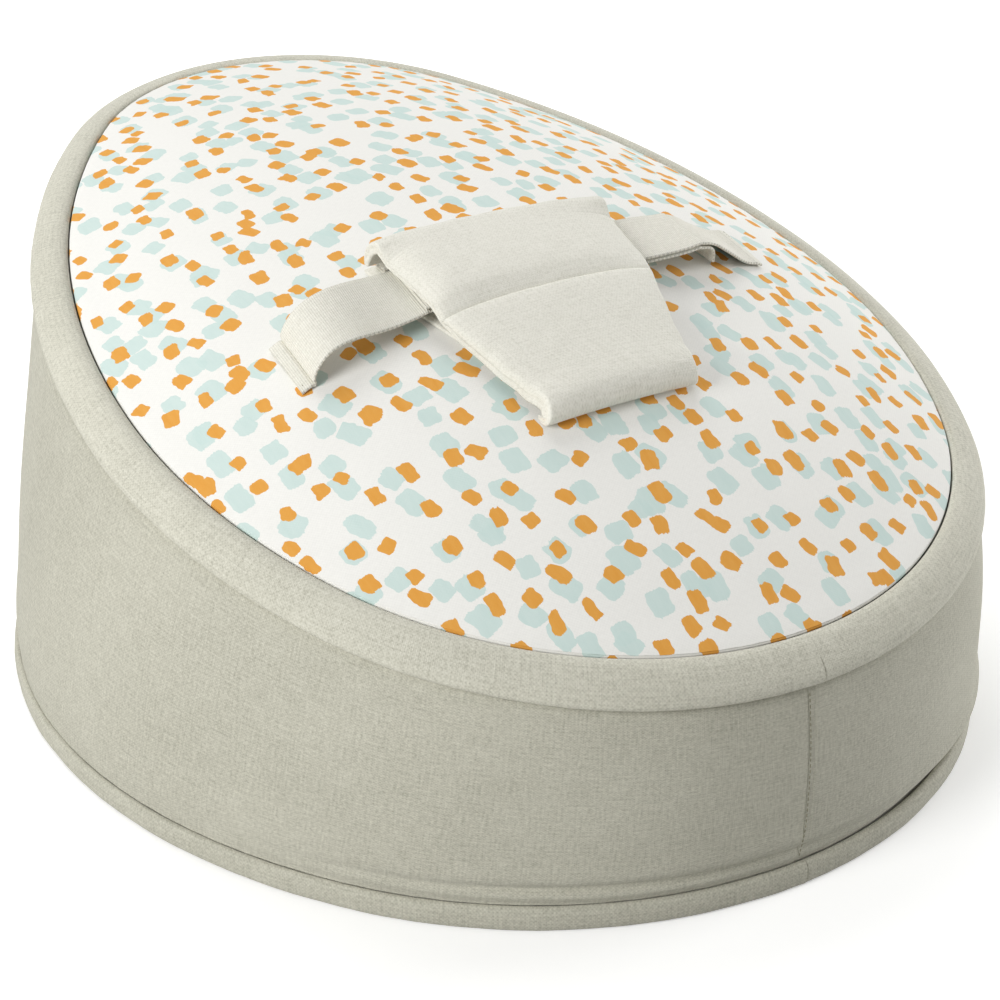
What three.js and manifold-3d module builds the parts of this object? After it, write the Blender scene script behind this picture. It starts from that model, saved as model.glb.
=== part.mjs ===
// A baby beanbag: a tilted, egg-shaped bag of beads with a zip-off seat cover and a padded harness.
// Millimetres, +Z up. The foot end faces -Y, the head end +Y, and the origin is on the floor.

import * as THREE from 'three';
import { mergeVertices } from 'three/addons/utils/BufferGeometryUtils.js';
import Module from 'manifold-3d';

const wasm = await Module();
wasm.setup();

// Driving dimensions

const gap = 0.4;                    // between two pieces that touch on the real bag
const overrun = 5;                  // how far a cutting solid runs past what it cuts
const turn = 2 * Math.PI;
const quarterTurn = Math.PI / 2;

// The floor outline is an egg of arcs: a head arc, a foot arc and two arcs down each side.
const floorOutline = { halfLength: 300, halfWidth: 262, headRadius: 191, footRadius: 243, widestY: -3 };
const floorShiftY = -4;

// The seat outline is the seam between the wall and the rim band, measured in the tilted plane.
const seatOutline = { halfLength: 314, halfWidth: 233, headRadius: 167, footRadius: 220, widestY: -41 };
const seatShiftY = 2;
const headSeamHeight = 262;
const footSeamHeight = 112.5;

const baseBand = { height: 13, thickness: 3, flare: 1.3 };
const basePanelThickness = 2.5;
const wall = { thickness: 3, bulge: 5, seamGap: 0.8 };
const rimBand = { width: 16, height: 13, thickness: 2.2, bulge: 2.2 };
const cover = { crown: 54, crownPower: 2.06, thickness: 4, edge: 2.6, hemWidth: 4, slit: 1.4 };
const zip = {
  height: 7.5, tapeThickness: 0.8, tapeWidth: 5.4, bandPlay: 1.6,
  teethWidth: 1.8, teethHeight: 2, rowGap: 1.6,
  parkedPast: THREE.MathUtils.degToRad(3.3), garageAngle: THREE.MathUtils.degToRad(3.5),
};
const slider = { length: 10, width: 9, plate: 0.9, post: 0.8, postLength: 6, running: 0.4 };
const liner = { thickness: 1.2, play: 0.7, flangeWidth: 22, lap: 2, clearance: 2.4, corner: 2 };
const linerZip = { length: 180, width: 22, thickness: 0.9, y: 120 };

const beltY = -60;                  // where the belt crosses the seat, in the tilted plane
const webbing = { width: 38, thickness: 1.8, height: 8.1, tab: 9, archStart: 78 };
const leftFoot = { x: 144, skew: -6 };     // the sewn ends, and how far each stands off the belt's line
const rightFoot = { x: 137, skew: 10 };
const tail = { length: 99, hang: 7.5 };
const buckle = {
  shiftX: -31, width: 43, height: 6.4, shell: 1.4,
  femaleLength: 30, slot: 7, bar: 4, barHeight: 2, mouthGap: 2,
  sleeveLength: 34, sleeveWall: 1.2, sleeveEnd: 1.6, strapEntry: 4,
  prongSize: 2.8, prongReach: 18.6, prongPlay: 0.7, barbLength: 10, barbSink: 0.4, armY: 13.5,
  tongueWidth: 6, lap: 10,
};
const pad = {
  offsetX: -17.5, thickness: 7.6, edge: 3.2, creaseThickness: 3.2, lipThickness: 5.2,
  headWidth: 135, creaseWidth: 120, footWidth: 84, foldThickness: 8.4, foldLift: 8.4,
  head: 32, crease: -31.5, foot: -98, height: 19.3, lipHeight: 8, rightSag: 6.9, leftSag: 6.2,
};
const padBase = { thickness: 2.6, inset: 3, headRun: 6 };
const touchStrip = { thickness: 1.1, width: 9, shortfall: 7 };

// Facets

const ringSteps = 56;
const endCrowding = 0.12;           // how much closer the facets stand at the head and foot ends
const wallRows = 3;
const crownRings = 9;
const padSteps = 14;
const patchSteps = 10;
const loopSteps = 6;

const colours = {
  canvas: 0xc9c6b6, band: 0xd8d4c2, print: 0xf3f3ef, webbing: 0xdfdbcf, padding: 0xdedccd, lining: 0xe9e7df,
  tape: 0x8f8b7c, teeth: 0x77736a, plastic: 0xc3bfc9, beads: 0xfafafa, metal: 0xa9a9ab, touch: 0xeceae0,
};

function cloth(colour) {
  return new THREE.MeshStandardMaterial({ color: colour, roughness: 0.92, metalness: 0 });
}

function plastic(colour) {
  return new THREE.MeshStandardMaterial({ color: colour, roughness: 0.45, metalness: 0 });
}

// Frames: the bag stands on the floor, the rim lies in the tilted plane of the seat's seam, and the
// harness lies on the seat where the belt crosses it.

const tilt = Math.asin((headSeamHeight - footSeamHeight) / (2 * seatOutline.halfLength));

const bag = new THREE.Group();
const rim = new THREE.Group();
rim.position.set(0, seatShiftY, (headSeamHeight + footSeamHeight) / 2);
rim.rotation.x = tilt;
rim.updateMatrix();
bag.add(rim);

function addPiece(parent, name, geometry, finish) {
  const mesh = new THREE.Mesh(geometry, finish);
  mesh.name = name;
  parent.add(mesh);
  return mesh;
}

// The egg outline

// How far an outline reaches from its middle point, (0, widestY), in the direction of an angle.
function outlineReach(outline, inset, angle) {
  const toHead = Math.sin(angle) >= 0;
  const endRadius = (toHead ? outline.headRadius : outline.footRadius) - inset;
  const halfWidth = outline.halfWidth - inset;
  const endReach = outline.halfLength - inset + (toHead ? -outline.widestY : outline.widestY);
  const rise = endReach - endRadius;
  const spare = halfWidth - endRadius;
  const sideShift = (rise * rise - spare * spare) / (2 * spare);
  const sideRadius = halfWidth + sideShift;
  const across = Math.abs(Math.cos(angle));
  const along = Math.abs(Math.sin(angle));
  const side = Math.sqrt(sideRadius ** 2 - (sideShift * along) ** 2) - sideShift * across;
  const onSide = Math.atan2(side * along, side * across + sideShift) <= Math.atan2(rise, sideShift);
  return onSide ? side : rise * along + Math.sqrt(endRadius ** 2 - (rise * across) ** 2);
}

// The angle, about the head arc's own middle, at which the side arc passes into the head arc.
function headArcStart(outline) {
  const rise = outline.halfLength - outline.widestY - outline.headRadius;
  const spare = outline.halfWidth - outline.headRadius;
  return Math.atan2(rise, (rise * rise - spare * spare) / (2 * spare));
}

function outlinePoint(outline, inset, angle, share, height) {
  const reach = outlineReach(outline, inset, angle) * share;
  return new THREE.Vector3(reach * Math.cos(angle), outline.widestY + reach * Math.sin(angle), height);
}

function rimPoint(inset, height, angle, share = 1) {
  return outlinePoint(seatOutline, inset, angle, share, height);
}

function floorPoint(inset, height, angle) {
  return outlinePoint(floorOutline, inset, angle, 1, height).add(new THREE.Vector3(0, floorShiftY, 0));
}

function inBag(point) {
  return point.applyMatrix4(rim.matrix);
}

// The wall runs straight from the floor outline to the seat outline and swells a little between them.
function wallPoint(inset, share, angle) {
  const foot = floorPoint(inset, baseBand.height + gap, angle);
  const head = inBag(rimPoint(inset, -gap, angle));
  const swell = wall.bulge * Math.sin(Math.PI * share);
  const outward = new THREE.Vector3(Math.cos(angle), Math.sin(angle), 0).multiplyScalar(swell);
  return foot.lerp(head, share).add(outward);
}

// The seat's crown, measured square to the tilted plane

const coverInset = rimBand.width + cover.slit;

function crownHeight(share) {
  return rimBand.height + cover.crown * (1 - share ** cover.crownPower);
}

function seatHeight(x, y) {
  const fromMiddle = Math.hypot(x, y - seatOutline.widestY);
  const reach = outlineReach(seatOutline, coverInset, Math.atan2(y - seatOutline.widestY, x));
  return crownHeight(Math.min(fromMiddle / reach, 1));
}

// Closed bodies from loops of points

// Makes the geometry, with its faces turned outward.
function geometryFrom(points, triangles) {
  const volume = triangles.reduce((sum, [a, b, c]) => (
    sum + points[a].dot(new THREE.Vector3().crossVectors(points[b], points[c]))
  ), 0);
  const outward = volume > 0 ? triangles : triangles.map(([a, b, c]) => [a, c, b]);
  const geometry = new THREE.BufferGeometry();
  geometry.setAttribute('position', new THREE.Float32BufferAttribute(points.flatMap((p) => p.toArray()), 3));
  geometry.setIndex(outward.flat());
  geometry.computeVertexNormals();
  return geometry;
}

// Splits a four-sided face along its shorter diagonal, so that layers that lie together fold alike.
function splitFace(points, [a, b, c, d]) {
  return points[a].distanceTo(points[c]) < points[b].distanceTo(points[d])
    ? [[a, b, c], [a, c, d]]
    : [[a, b, d], [b, c, d]];
}

// Joins each loop to the next, and the last to the first where the body closes on itself. An open body
// is capped with strips between the loop's two halves, which run side by side.
function sweptBody(loops, closed) {
  const size = loops[0].length;
  const points = loops.flat();
  const triangles = [];
  for (let i = 0; i < loops.length - (closed ? 0 : 1); i += 1) {
    const here = i * size;
    const next = ((i + 1) % loops.length) * size;
    for (let j = 0; j < size; j += 1) {
      const k = (j + 1) % size;
      triangles.push(...splitFace(points, [here + j, next + j, next + k, here + k]));
    }
  }
  if (!closed) {
    const last = points.length - size;
    for (let j = 0; j < size / 2 - 1; j += 1) {
      const face = [j, j + 1, size - 2 - j, size - 1 - j];
      triangles.push(...splitFace(points, face));
      triangles.push(...splitFace(points, face.toReversed().map((corner) => last + corner)));
    }
  }
  return geometryFrom(points, triangles);
}

// Joins rings into a body that starts at one point and ends at another.
function poleBody(firstPole, rings, lastPole) {
  const size = rings[0].length;
  const points = [firstPole, ...rings.flat(), lastPole];
  const triangles = [];
  const lastRing = 1 + (rings.length - 1) * size;
  for (let j = 0; j < size; j += 1) {
    const k = (j + 1) % size;
    triangles.push([0, 1 + j, 1 + k]);
    for (let i = 0; i < rings.length - 1; i += 1) {
      const here = 1 + i * size;
      const next = here + size;
      triangles.push(...splitFace(points, [here + j, next + j, next + k, here + k]));
    }
    triangles.push([lastRing + j, lastRing + size, lastRing + k]);
  }
  return geometryFrom(points, triangles);
}

const ringAngles = Array.from({ length: ringSteps }, (_, i) => {
  const angle = (i * turn) / ringSteps - quarterTurn;
  return angle + endCrowding * Math.sin(2 * angle);
});

function ringOf(pointAt) {
  return ringAngles.map(pointAt);
}

// Two angles with the ring's angles between them.
function anglesBetween(start, end) {
  const twice = [...ringAngles, ...ringAngles.map((angle) => angle + turn)];
  return [start, ...twice.filter((angle) => angle > start && angle < end), end];
}

// A strip that follows the rim, with a section of [inset, height] corners.
function rimStrip(corners, angles) {
  const loops = angles.map((angle) => corners.map(([inset, height]) => rimPoint(inset, height, angle)));
  return sweptBody(loops, angles === ringAngles);
}

function rectangle(low, high, middle, thickness) {
  return [
    [low, middle - thickness / 2], [high, middle - thickness / 2],
    [high, middle + thickness / 2], [low, middle + thickness / 2],
  ];
}

// Solids for joining and cutting

function solidOf(geometry) {
  const plain = geometry.clone();
  plain.deleteAttribute('normal');
  plain.deleteAttribute('uv');
  const merged = mergeVertices(plain);
  return new wasm.Manifold(new wasm.Mesh({
    numProp: 3,
    vertProperties: new Float32Array(merged.attributes.position.array),
    triVerts: new Uint32Array(merged.index.array),
  }));
}

function geometryOf(solid) {
  const mesh = solid.getMesh();
  const geometry = new THREE.BufferGeometry();
  geometry.setAttribute('position', new THREE.BufferAttribute(mesh.vertProperties, 3));
  geometry.setIndex(new THREE.BufferAttribute(mesh.triVerts, 1));
  geometry.computeVertexNormals();
  return geometry;
}

// A block from its lowest and highest corners.
function block([x0, y0, z0], [x1, y1, z1]) {
  const geometry = new THREE.BoxGeometry(x1 - x0, y1 - y0, z1 - z0);
  geometry.translate((x0 + x1) / 2, (y0 + y1) / 2, (z0 + z1) / 2);
  return solidOf(geometry);
}

// Bottom of the bag: a flat panel inside a low band

const panelInset = baseBand.thickness + gap;
addPiece(bag, 'base_panel', poleBody(
  new THREE.Vector3(0, floorShiftY, 0),
  [0, basePanelThickness].map((height) => ringOf((a) => floorPoint(panelInset, height, a))),
  new THREE.Vector3(0, floorShiftY, basePanelThickness),
), cloth(colours.canvas));

addPiece(bag, 'base_band', sweptBody(ringAngles.map((a) => [
  floorPoint(-baseBand.flare, 0, a),
  floorPoint(baseBand.thickness, 0, a),
  floorPoint(baseBand.thickness, baseBand.height, a),
  floorPoint(0, baseBand.height, a),
]), true), cloth(colours.canvas));

// Walls: two halves, sewn together at the middle of the foot end and of the head end

function wallHalf(middleAngle) {
  const clear = wall.seamGap / (2 * floorOutline.footRadius);
  const angles = anglesBetween(middleAngle - quarterTurn + clear, middleAngle + quarterTurn - clear);
  const rows = Array.from({ length: wallRows + 1 }, (_, i) => i / wallRows);
  return sweptBody(angles.map((a) => [
    ...rows.map((row) => wallPoint(wall.thickness, row, a)),
    ...rows.toReversed().map((row) => wallPoint(0, row, a)),
  ]), false);
}
addPiece(bag, 'wall_left', wallHalf(Math.PI), cloth(colours.canvas));
addPiece(bag, 'wall_right', wallHalf(0), cloth(colours.canvas));

// Rim band: canvas turned over the edge, from the wall's seam in to the zip

const bandOuterShares = [[0, 0], [-1, 0.26], [-0.75, 0.6], [0.15, 0.9], [0.52, 1.02], [1, 0.98]];
const bandOuter = bandOuterShares.map(([across, up]) => (
  [across * (across < 0 ? rimBand.bulge : rimBand.width), up * rimBand.height]
));
const [bandFoot, bandLow, bandMiddle, bandShoulder, bandTop, bandEdge] = bandOuter;
const bandSlant = rimBand.thickness * Math.SQRT1_2;
const bandInner = [
  [bandEdge[0], bandEdge[1] - rimBand.thickness],
  [bandTop[0], bandTop[1] - rimBand.thickness],
  [bandShoulder[0] + bandSlant, bandShoulder[1] - bandSlant],
  [bandMiddle[0] + rimBand.thickness, bandMiddle[1]],
  [bandLow[0] + rimBand.thickness, bandLow[1]],
  [bandFoot[0] + rimBand.thickness, bandFoot[1]],
];
addPiece(rim, 'rim_band', rimStrip([...bandOuter, ...bandInner], ringAngles), cloth(colours.band));

// Zip: two tapes with a row of teeth each, under the slit between the band and the cover. Both stop
// short of a garage, a plain place at the head end where the slider is parked.

const chainInset = rimBand.width + cover.slit / 2;
const headArcY = seatOutline.halfLength - seatOutline.headRadius;
const chainRadius = seatOutline.headRadius - chainInset;

// The slider is parked just past the place where the head arc begins.
const parkedAngle = headArcStart(seatOutline) + zip.parkedPast;

// The angle from the outline's middle to a place on the head arc.
function rimAngle(arcAngle) {
  const y = headArcY + chainRadius * Math.sin(arcAngle) - seatOutline.widestY;
  return Math.atan2(y, chainRadius * Math.cos(arcAngle));
}

// The strips have finer facets round the head end, where the slider runs.
const runEnd = rimAngle(Math.PI - parkedAngle);
const zipAngles = anglesBetween(
  rimAngle(parkedAngle + zip.garageAngle),
  rimAngle(parkedAngle - zip.garageAngle) + turn,
).flatMap((angle, i, all) => {
  const next = all[i + 1];
  return angle < runEnd ? [angle, (2 * angle + next) / 3, (angle + 2 * next) / 3] : [angle];
});
const outerTeeth = chainInset - zip.rowGap / 2 - zip.teethWidth;
const innerTeeth = chainInset + zip.rowGap / 2;
const innerTape = innerTeeth + zip.teethWidth + gap;
const outerTape = bandMiddle[0] + rimBand.thickness + zip.bandPlay;

function zipStrip(from, to, thickness) {
  return rimStrip(rectangle(from, to, zip.height, thickness), zipAngles);
}
const outerTapeStrip = zipStrip(outerTape, outerTeeth - gap, zip.tapeThickness);
const outerTeethStrip = zipStrip(outerTeeth, outerTeeth + zip.teethWidth, zip.teethHeight);
const innerTeethStrip = zipStrip(innerTeeth, innerTeeth + zip.teethWidth, zip.teethHeight);
const innerTapeStrip = zipStrip(innerTape, innerTape + zip.tapeWidth, zip.tapeThickness);
addPiece(rim, 'zip_tape_outer', outerTapeStrip, cloth(colours.tape));
addPiece(rim, 'zip_teeth_outer', outerTeethStrip, plastic(colours.teeth));
addPiece(rim, 'zip_teeth_inner', innerTeethStrip, plastic(colours.teeth));
addPiece(rim, 'zip_tape_inner', innerTapeStrip, cloth(colours.tape));

// Zip slider: two plates joined by a post that runs between the rows of teeth. It has no pull.

function zipSlider() {
  const inside = zip.teethHeight / 2 + slider.running;
  const outside = inside + slider.plate;
  const upper = block([-slider.width / 2, -slider.length / 2, inside],
    [slider.width / 2, slider.length / 2, outside]);
  const lower = block([-slider.width / 2, -slider.length / 2, -outside],
    [slider.width / 2, slider.length / 2, -inside]);
  const post = block([-slider.post / 2, -slider.postLength / 2, -outside],
    [slider.post / 2, slider.postLength / 2, outside]);
  return geometryOf(upper.add(lower).add(post));
}
const zipSliderMesh = addPiece(rim, 'zip_slider', zipSlider(),
  new THREE.MeshStandardMaterial({ color: colours.metal, roughness: 0.35, metalness: 1 }));
zipSliderMesh.rotation.z = parkedAngle;
zipSliderMesh.position.set(
  chainRadius * Math.cos(parkedAngle),
  headArcY + chainRadius * Math.sin(parkedAngle),
  zip.height,
);

// Seat cover: a crowned shell with a hem that comes down on the inner tape

const hemInset = chainInset + slider.width / 2 + gap;
const hemBottom = zip.height + zip.tapeThickness / 2 + gap;
const hemEnd = hemInset + cover.hemWidth;
const crownShares = Array.from({ length: crownRings }, (_, i) => (
  Math.sin((quarterTurn * (i + 1)) / crownRings)
));
const innerShares = crownShares.slice(0, -2);

function crownRing(share, lowering) {
  return ringOf((a) => rimPoint(coverInset, crownHeight(share) - lowering, a, share));
}

function crownPole(lowering) {
  return new THREE.Vector3(0, seatOutline.widestY, crownHeight(0) - lowering);
}

function edgeRing(inset, height) {
  return ringOf((a) => rimPoint(inset, height, a));
}

// The cover's underside beside the hem, where it leaves the tape and rises with the crown.
function hemTopRing() {
  return ringOf((a) => {
    const p = rimPoint(hemEnd + cover.edge / 2, 0, a);
    p.z = seatHeight(p.x, p.y) - cover.thickness;
    return p;
  });
}

addPiece(rim, 'seat_cover', poleBody(crownPole(0), [
  ...crownShares.map((share) => crownRing(share, 0)),
  edgeRing(coverInset, rimBand.height - cover.edge),
  edgeRing(hemInset, rimBand.height - cover.edge),
  edgeRing(hemInset, hemBottom),
  edgeRing(hemEnd, hemBottom),
  hemTopRing(),
  ...innerShares.toReversed().map((share) => crownRing(share, cover.thickness)),
], crownPole(cover.thickness)), cloth(colours.print));

// Liner: the inner bag, a tub with a flange and a domed top that laps over it, closed by its own zip

const tubInset = wall.thickness + liner.play;
const tubInside = tubInset + liner.thickness;
const tubBottom = basePanelThickness + gap;
const flangeEnd = tubInset + liner.flangeWidth;
const tubRows = Array.from({ length: wallRows }, (_, i) => i / wallRows);

function wallRing(inset, share) {
  return ringOf((a) => wallPoint(inset, share, a));
}

function rimRingInBag(inset, height) {
  return ringOf((a) => inBag(rimPoint(inset, height, a)));
}

function bottomRing(inset, height) {
  return ringOf((a) => floorPoint(inset + liner.corner, height, a));
}

addPiece(bag, 'liner_tub', poleBody(new THREE.Vector3(0, floorShiftY, tubBottom), [
  bottomRing(tubInset, tubBottom),
  ...tubRows.map((row) => wallRing(tubInset, row)),
  rimRingInBag(tubInset, 0),
  rimRingInBag(flangeEnd, 0),
  rimRingInBag(flangeEnd, -liner.thickness),
  rimRingInBag(tubInside, -liner.thickness),
  ...tubRows.toReversed().map((row) => wallRing(tubInside, row)),
  bottomRing(tubInside, tubBottom + liner.thickness),
], new THREE.Vector3(0, floorShiftY, tubBottom + liner.thickness)), cloth(colours.lining));

const linerDrop = cover.thickness + liner.clearance;
const linerEdge = flangeEnd - liner.lap;
addPiece(rim, 'liner_top', poleBody(crownPole(linerDrop), [
  ...innerShares.map((share) => crownRing(share, linerDrop)),
  edgeRing(linerEdge, gap + liner.thickness),
  edgeRing(linerEdge, gap),
  ...innerShares.toReversed().map((share) => crownRing(share, linerDrop + liner.thickness)),
], crownPole(linerDrop + liner.thickness)), cloth(colours.lining));

// A thin piece that lies on a surface: its outline runs between two edges, each a function of y.
function patch(heightAt, xFrom, xTo, yFrom, yTo, low, high) {
  const shares = Array.from({ length: patchSteps + 1 }, (_, i) => i / patchSteps);
  return sweptBody(shares.map((s) => {
    const y = THREE.MathUtils.lerp(yFrom, yTo, s);
    const across = shares.map((t) => THREE.MathUtils.lerp(xFrom(y), xTo(y), t));
    return [
      ...across.map((x) => new THREE.Vector3(x, y, heightAt(x, y) + low)),
      ...across.toReversed().map((x) => new THREE.Vector3(x, y, heightAt(x, y) + high)),
    ];
  }), false);
}

addPiece(rim, 'liner_zip', patch(
  seatHeight, () => -linerZip.length / 2, () => linerZip.length / 2,
  linerZip.y - linerZip.width / 2, linerZip.y + linerZip.width / 2,
  gap - linerDrop, gap + linerZip.thickness - linerDrop,
), cloth(colours.tape));

// The beads, as one solid that fills the liner

const fillInset = tubInside + gap;
const fillBottom = tubBottom + liner.thickness + gap;
const fillDrop = linerDrop + liner.thickness + 2 * gap;
addPiece(bag, 'bead_fill', poleBody(new THREE.Vector3(0, floorShiftY, fillBottom), [
  bottomRing(fillInset, fillBottom),
  ...tubRows.map((row) => wallRing(fillInset, row)),
  rimRingInBag(fillInset, -liner.thickness - gap),
  rimRingInBag(flangeEnd + liner.lap, -liner.thickness - gap),
  ...innerShares.toReversed().map((share) => crownRing(share, fillDrop).map(inBag)),
], inBag(crownPole(fillDrop))), cloth(colours.beads));

// The harness frame: x across, y up the seat, z out of it, on the seat where the belt crosses

const beltHeight = seatHeight(0, beltY);
const beltSpan = webbing.width;
const beltSlope = Math.atan2(
  seatHeight(0, beltY + beltSpan / 2) - seatHeight(0, beltY - beltSpan / 2),
  beltSpan,
);
const harness = new THREE.Group();
harness.position.set(0, beltY, beltHeight);
harness.rotation.x = beltSlope;
rim.add(harness);

// Height of the printed surface in the harness frame.
function seatUnder(x, y) {
  const height = seatHeight(x, beltY + y * Math.cos(beltSlope)) - beltHeight;
  return (height - y * Math.sin(beltSlope)) / Math.cos(beltSlope);
}

// Webbing: a ribbon drawn by its middle line, seen along the harness's y. Past the arch's start it
// runs askew, towards its sewn foot.

function skewAt(foot, x) {
  return (foot.skew * Math.max(Math.abs(x) - webbing.archStart, 0)) / (foot.x - webbing.archStart);
}

function ribbon(points, foot) {
  const halfSpan = webbing.width / 2;
  return sweptBody(points.map((p, i) => {
    const before = points[Math.max(i - 1, 0)];
    const after = points[Math.min(i + 1, points.length - 1)];
    const along = new THREE.Vector2().subVectors(after, before).setLength(webbing.thickness / 2);
    const away = new THREE.Vector2(-along.y, along.x);
    const high = p.clone().add(away);
    const low = p.clone().sub(away);
    return [[low, -halfSpan], [low, halfSpan], [high, halfSpan], [high, -halfSpan]].map(
      ([corner, y]) => new THREE.Vector3(corner.x, y + skewAt(foot, corner.x), corner.y),
    );
  }), false);
}

// Middle of a webbing that lies on the seat, over the highest place under it.
function restHeight(foot, x) {
  const middle = skewAt(foot, x);
  const seat = [-1, 0, 1].map((side) => seatUnder(x, middle + (side * webbing.width) / 2));
  return Math.max(...seat) + gap + webbing.thickness / 2;
}

// An arch from the pad's edge down to a sewn foot, as shares of its span and of its height.
function archRoute(foot, side, start, shares) {
  const low = restHeight(foot, side * foot.x);
  const tabEnd = foot.x + webbing.tab;
  return [
    ...shares.map(([along, up]) => new THREE.Vector2(
      THREE.MathUtils.lerp(webbing.archStart, foot.x, along),
      THREE.MathUtils.lerp(low, start, up),
    )),
    new THREE.Vector2(foot.x + webbing.thickness, low + webbing.thickness / 4),
    new THREE.Vector2(tabEnd, restHeight(foot, side * tabEnd)),
  ];
}

// Height of a route at a place along it, where x grows from point to point.
function heightOn(route, x) {
  const next = Math.max(route.findIndex((p) => p.x >= x), 1);
  const share = (x - route[next - 1].x) / (route[next].x - route[next - 1].x);
  return THREE.MathUtils.lerp(route[next - 1].y, route[next].y, share);
}

function mirrored(points) {
  return points.map((p) => new THREE.Vector2(-p.x, p.y));
}

// Buckle, female half: a flat box with a mouth for the prongs, a window in each side, and a bar that
// the left strap is sewn round

const buckleMiddle = webbing.height - (webbing.thickness + gap) / 2;
const femaleLow = buckleMiddle - buckle.height / 2;
const femaleHigh = buckleMiddle + buckle.height / 2;
const mouthX = buckle.shiftX + buckle.mouthGap;
const femaleBack = mouthX - buckle.femaleLength;
const barInner = femaleBack - buckle.slot;
const barOuter = barInner - buckle.bar;
const halfBuckle = buckle.width / 2;
const cavityHalf = halfBuckle - buckle.shell;
const cavityLow = femaleLow + buckle.shell;
const cavityHigh = femaleHigh - buckle.shell;
const barbTip = mouthX - buckle.mouthGap / 2 - buckle.prongReach + buckle.mouthGap;
const slotHalf = webbing.width / 2 + gap;

function buckleFemale() {
  const body = block([barOuter, -halfBuckle, femaleLow], [mouthX, halfBuckle, femaleHigh]);
  const cavity = block(
    [femaleBack + buckle.shell * 2, -cavityHalf, cavityLow],
    [mouthX + overrun, cavityHalf, cavityHigh],
  );
  const windowLow = barbTip - buckle.prongPlay;
  const windowHigh = barbTip + buckle.barbLength + buckle.prongPlay;
  const window = block(
    [windowLow, -halfBuckle - overrun, cavityLow],
    [windowHigh, halfBuckle + overrun, cavityHigh],
  );
  const slot = block(
    [barInner, -slotHalf, femaleLow - overrun],
    [femaleBack, slotHalf, femaleHigh + overrun],
  );
  const aboveBar = block(
    [barOuter - overrun, -slotHalf, buckleMiddle + buckle.barHeight / 2],
    [femaleBack, slotHalf, femaleHigh + overrun],
  );
  const belowBar = block(
    [barOuter - overrun, -slotHalf, femaleLow - overrun],
    [femaleBack, slotHalf, buckleMiddle - buckle.barHeight / 2],
  );
  const cuts = [cavity, window, slot, aboveBar, belowBar];
  return geometryOf(cuts.reduce((rest, cut) => rest.subtract(cut), body));
}
addPiece(harness, 'buckle_female', buckleFemale(), plastic(colours.plastic));

// Buckle, male half: a flat sleeve with a tongue. Both layers of the right strap run into the sleeve,
// which is long enough to slide over them when the buckle is drawn apart.

const sleeveInner = mouthX + buckle.mouthGap;
const sleeveOuter = sleeveInner + buckle.sleeveLength;
const tailHeight = webbing.height - webbing.thickness - gap;
const passageHalf = webbing.thickness + (3 * gap) / 2;
const prongLow = buckleMiddle - buckle.prongSize / 2;
const prongHigh = buckleMiddle + buckle.prongSize / 2;

function buckleMale() {
  const half = passageHalf + buckle.sleeveWall;
  const sleeve = block(
    [sleeveInner, -halfBuckle, buckleMiddle - half],
    [sleeveOuter, halfBuckle, buckleMiddle + half],
  );
  const tongue = block(
    [barbTip, -buckle.tongueWidth / 2, prongLow],
    [sleeveInner + buckle.shell, buckle.tongueWidth / 2, prongHigh],
  );
  const passage = block(
    [sleeveInner + buckle.sleeveEnd, -slotHalf, buckleMiddle - passageHalf],
    [sleeveOuter + overrun, slotHalf, buckleMiddle + passageHalf],
  );
  return geometryOf(sleeve.add(tongue).subtract(passage));
}
addPiece(harness, 'buckle_male', buckleMale(), plastic(colours.plastic));

// Prongs: each is an arm with a press tab that stands in the female half's window

function prong() {
  const armLow = buckle.armY - buckle.prongSize / 2;
  const armHigh = buckle.armY + buckle.prongSize / 2;
  const arm = block([barbTip, armLow, prongLow], [sleeveInner - gap, armHigh, prongHigh]);
  const barb = block(
    [barbTip, armLow, prongLow],
    [barbTip + buckle.barbLength, halfBuckle - buckle.barbSink, prongHigh],
  );
  return arm.add(barb);
}
addPiece(harness, 'prong_rear', geometryOf(prong()), plastic(colours.plastic));
addPiece(harness, 'prong_front', geometryOf(prong().mirror([0, 1, 0])), plastic(colours.plastic));

// Left strap: from its sewn foot over the arch, round the female half's bar and back on itself

const loopRise = buckle.barHeight / 2 + gap + webbing.thickness / 2;
const loopRoute = Array.from({ length: loopSteps + 1 }, (_, i) => {
  const angle = quarterTurn - (i * Math.PI) / loopSteps;
  return new THREE.Vector2(
    barInner + loopRise * Math.cos(angle),
    buckleMiddle + loopRise * Math.sin(angle),
  );
});
const besideBar = barOuter - gap - webbing.thickness / 2;
const leftStart = buckleMiddle - loopRise;
const leftShares = [
  [0, 0.965], [0.1, 0.91], [0.26, 0.865], [0.45, 0.845], [0.63, 0.8],
  [0.77, 0.67], [0.87, 0.44], [0.94, 0.23], [1, 0.04],
];
const leftArch = [
  new THREE.Vector2(-besideBar, leftStart),
  ...archRoute(leftFoot, -1, leftStart, leftShares),
];
const lapEnd = barOuter - buckle.lap;
const leftRoute = [
  new THREE.Vector2(lapEnd, heightOn(leftArch, -lapEnd) + webbing.thickness + 2 * gap),
  new THREE.Vector2(besideBar, buckleMiddle + loopRise),
  ...loopRoute,
  ...mirrored(leftArch),
];
addPiece(harness, 'strap_left', ribbon(leftRoute, leftFoot), cloth(colours.webbing));

// Right strap: from inside the male half's sleeve, over the arch to its sewn foot

const strapStart = sleeveOuter - buckle.strapEntry;
const rightShares = [
  [0, 1], [0.17, 0.96], [0.34, 0.82], [0.52, 0.58], [0.7, 0.34], [0.87, 0.13], [1, 0.03],
];
const rightRoute = [
  new THREE.Vector2(strapStart, webbing.height),
  ...archRoute(rightFoot, 1, webbing.height, rightShares),
];
addPiece(harness, 'strap_right', ribbon(rightRoute, rightFoot), cloth(colours.webbing));

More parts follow.
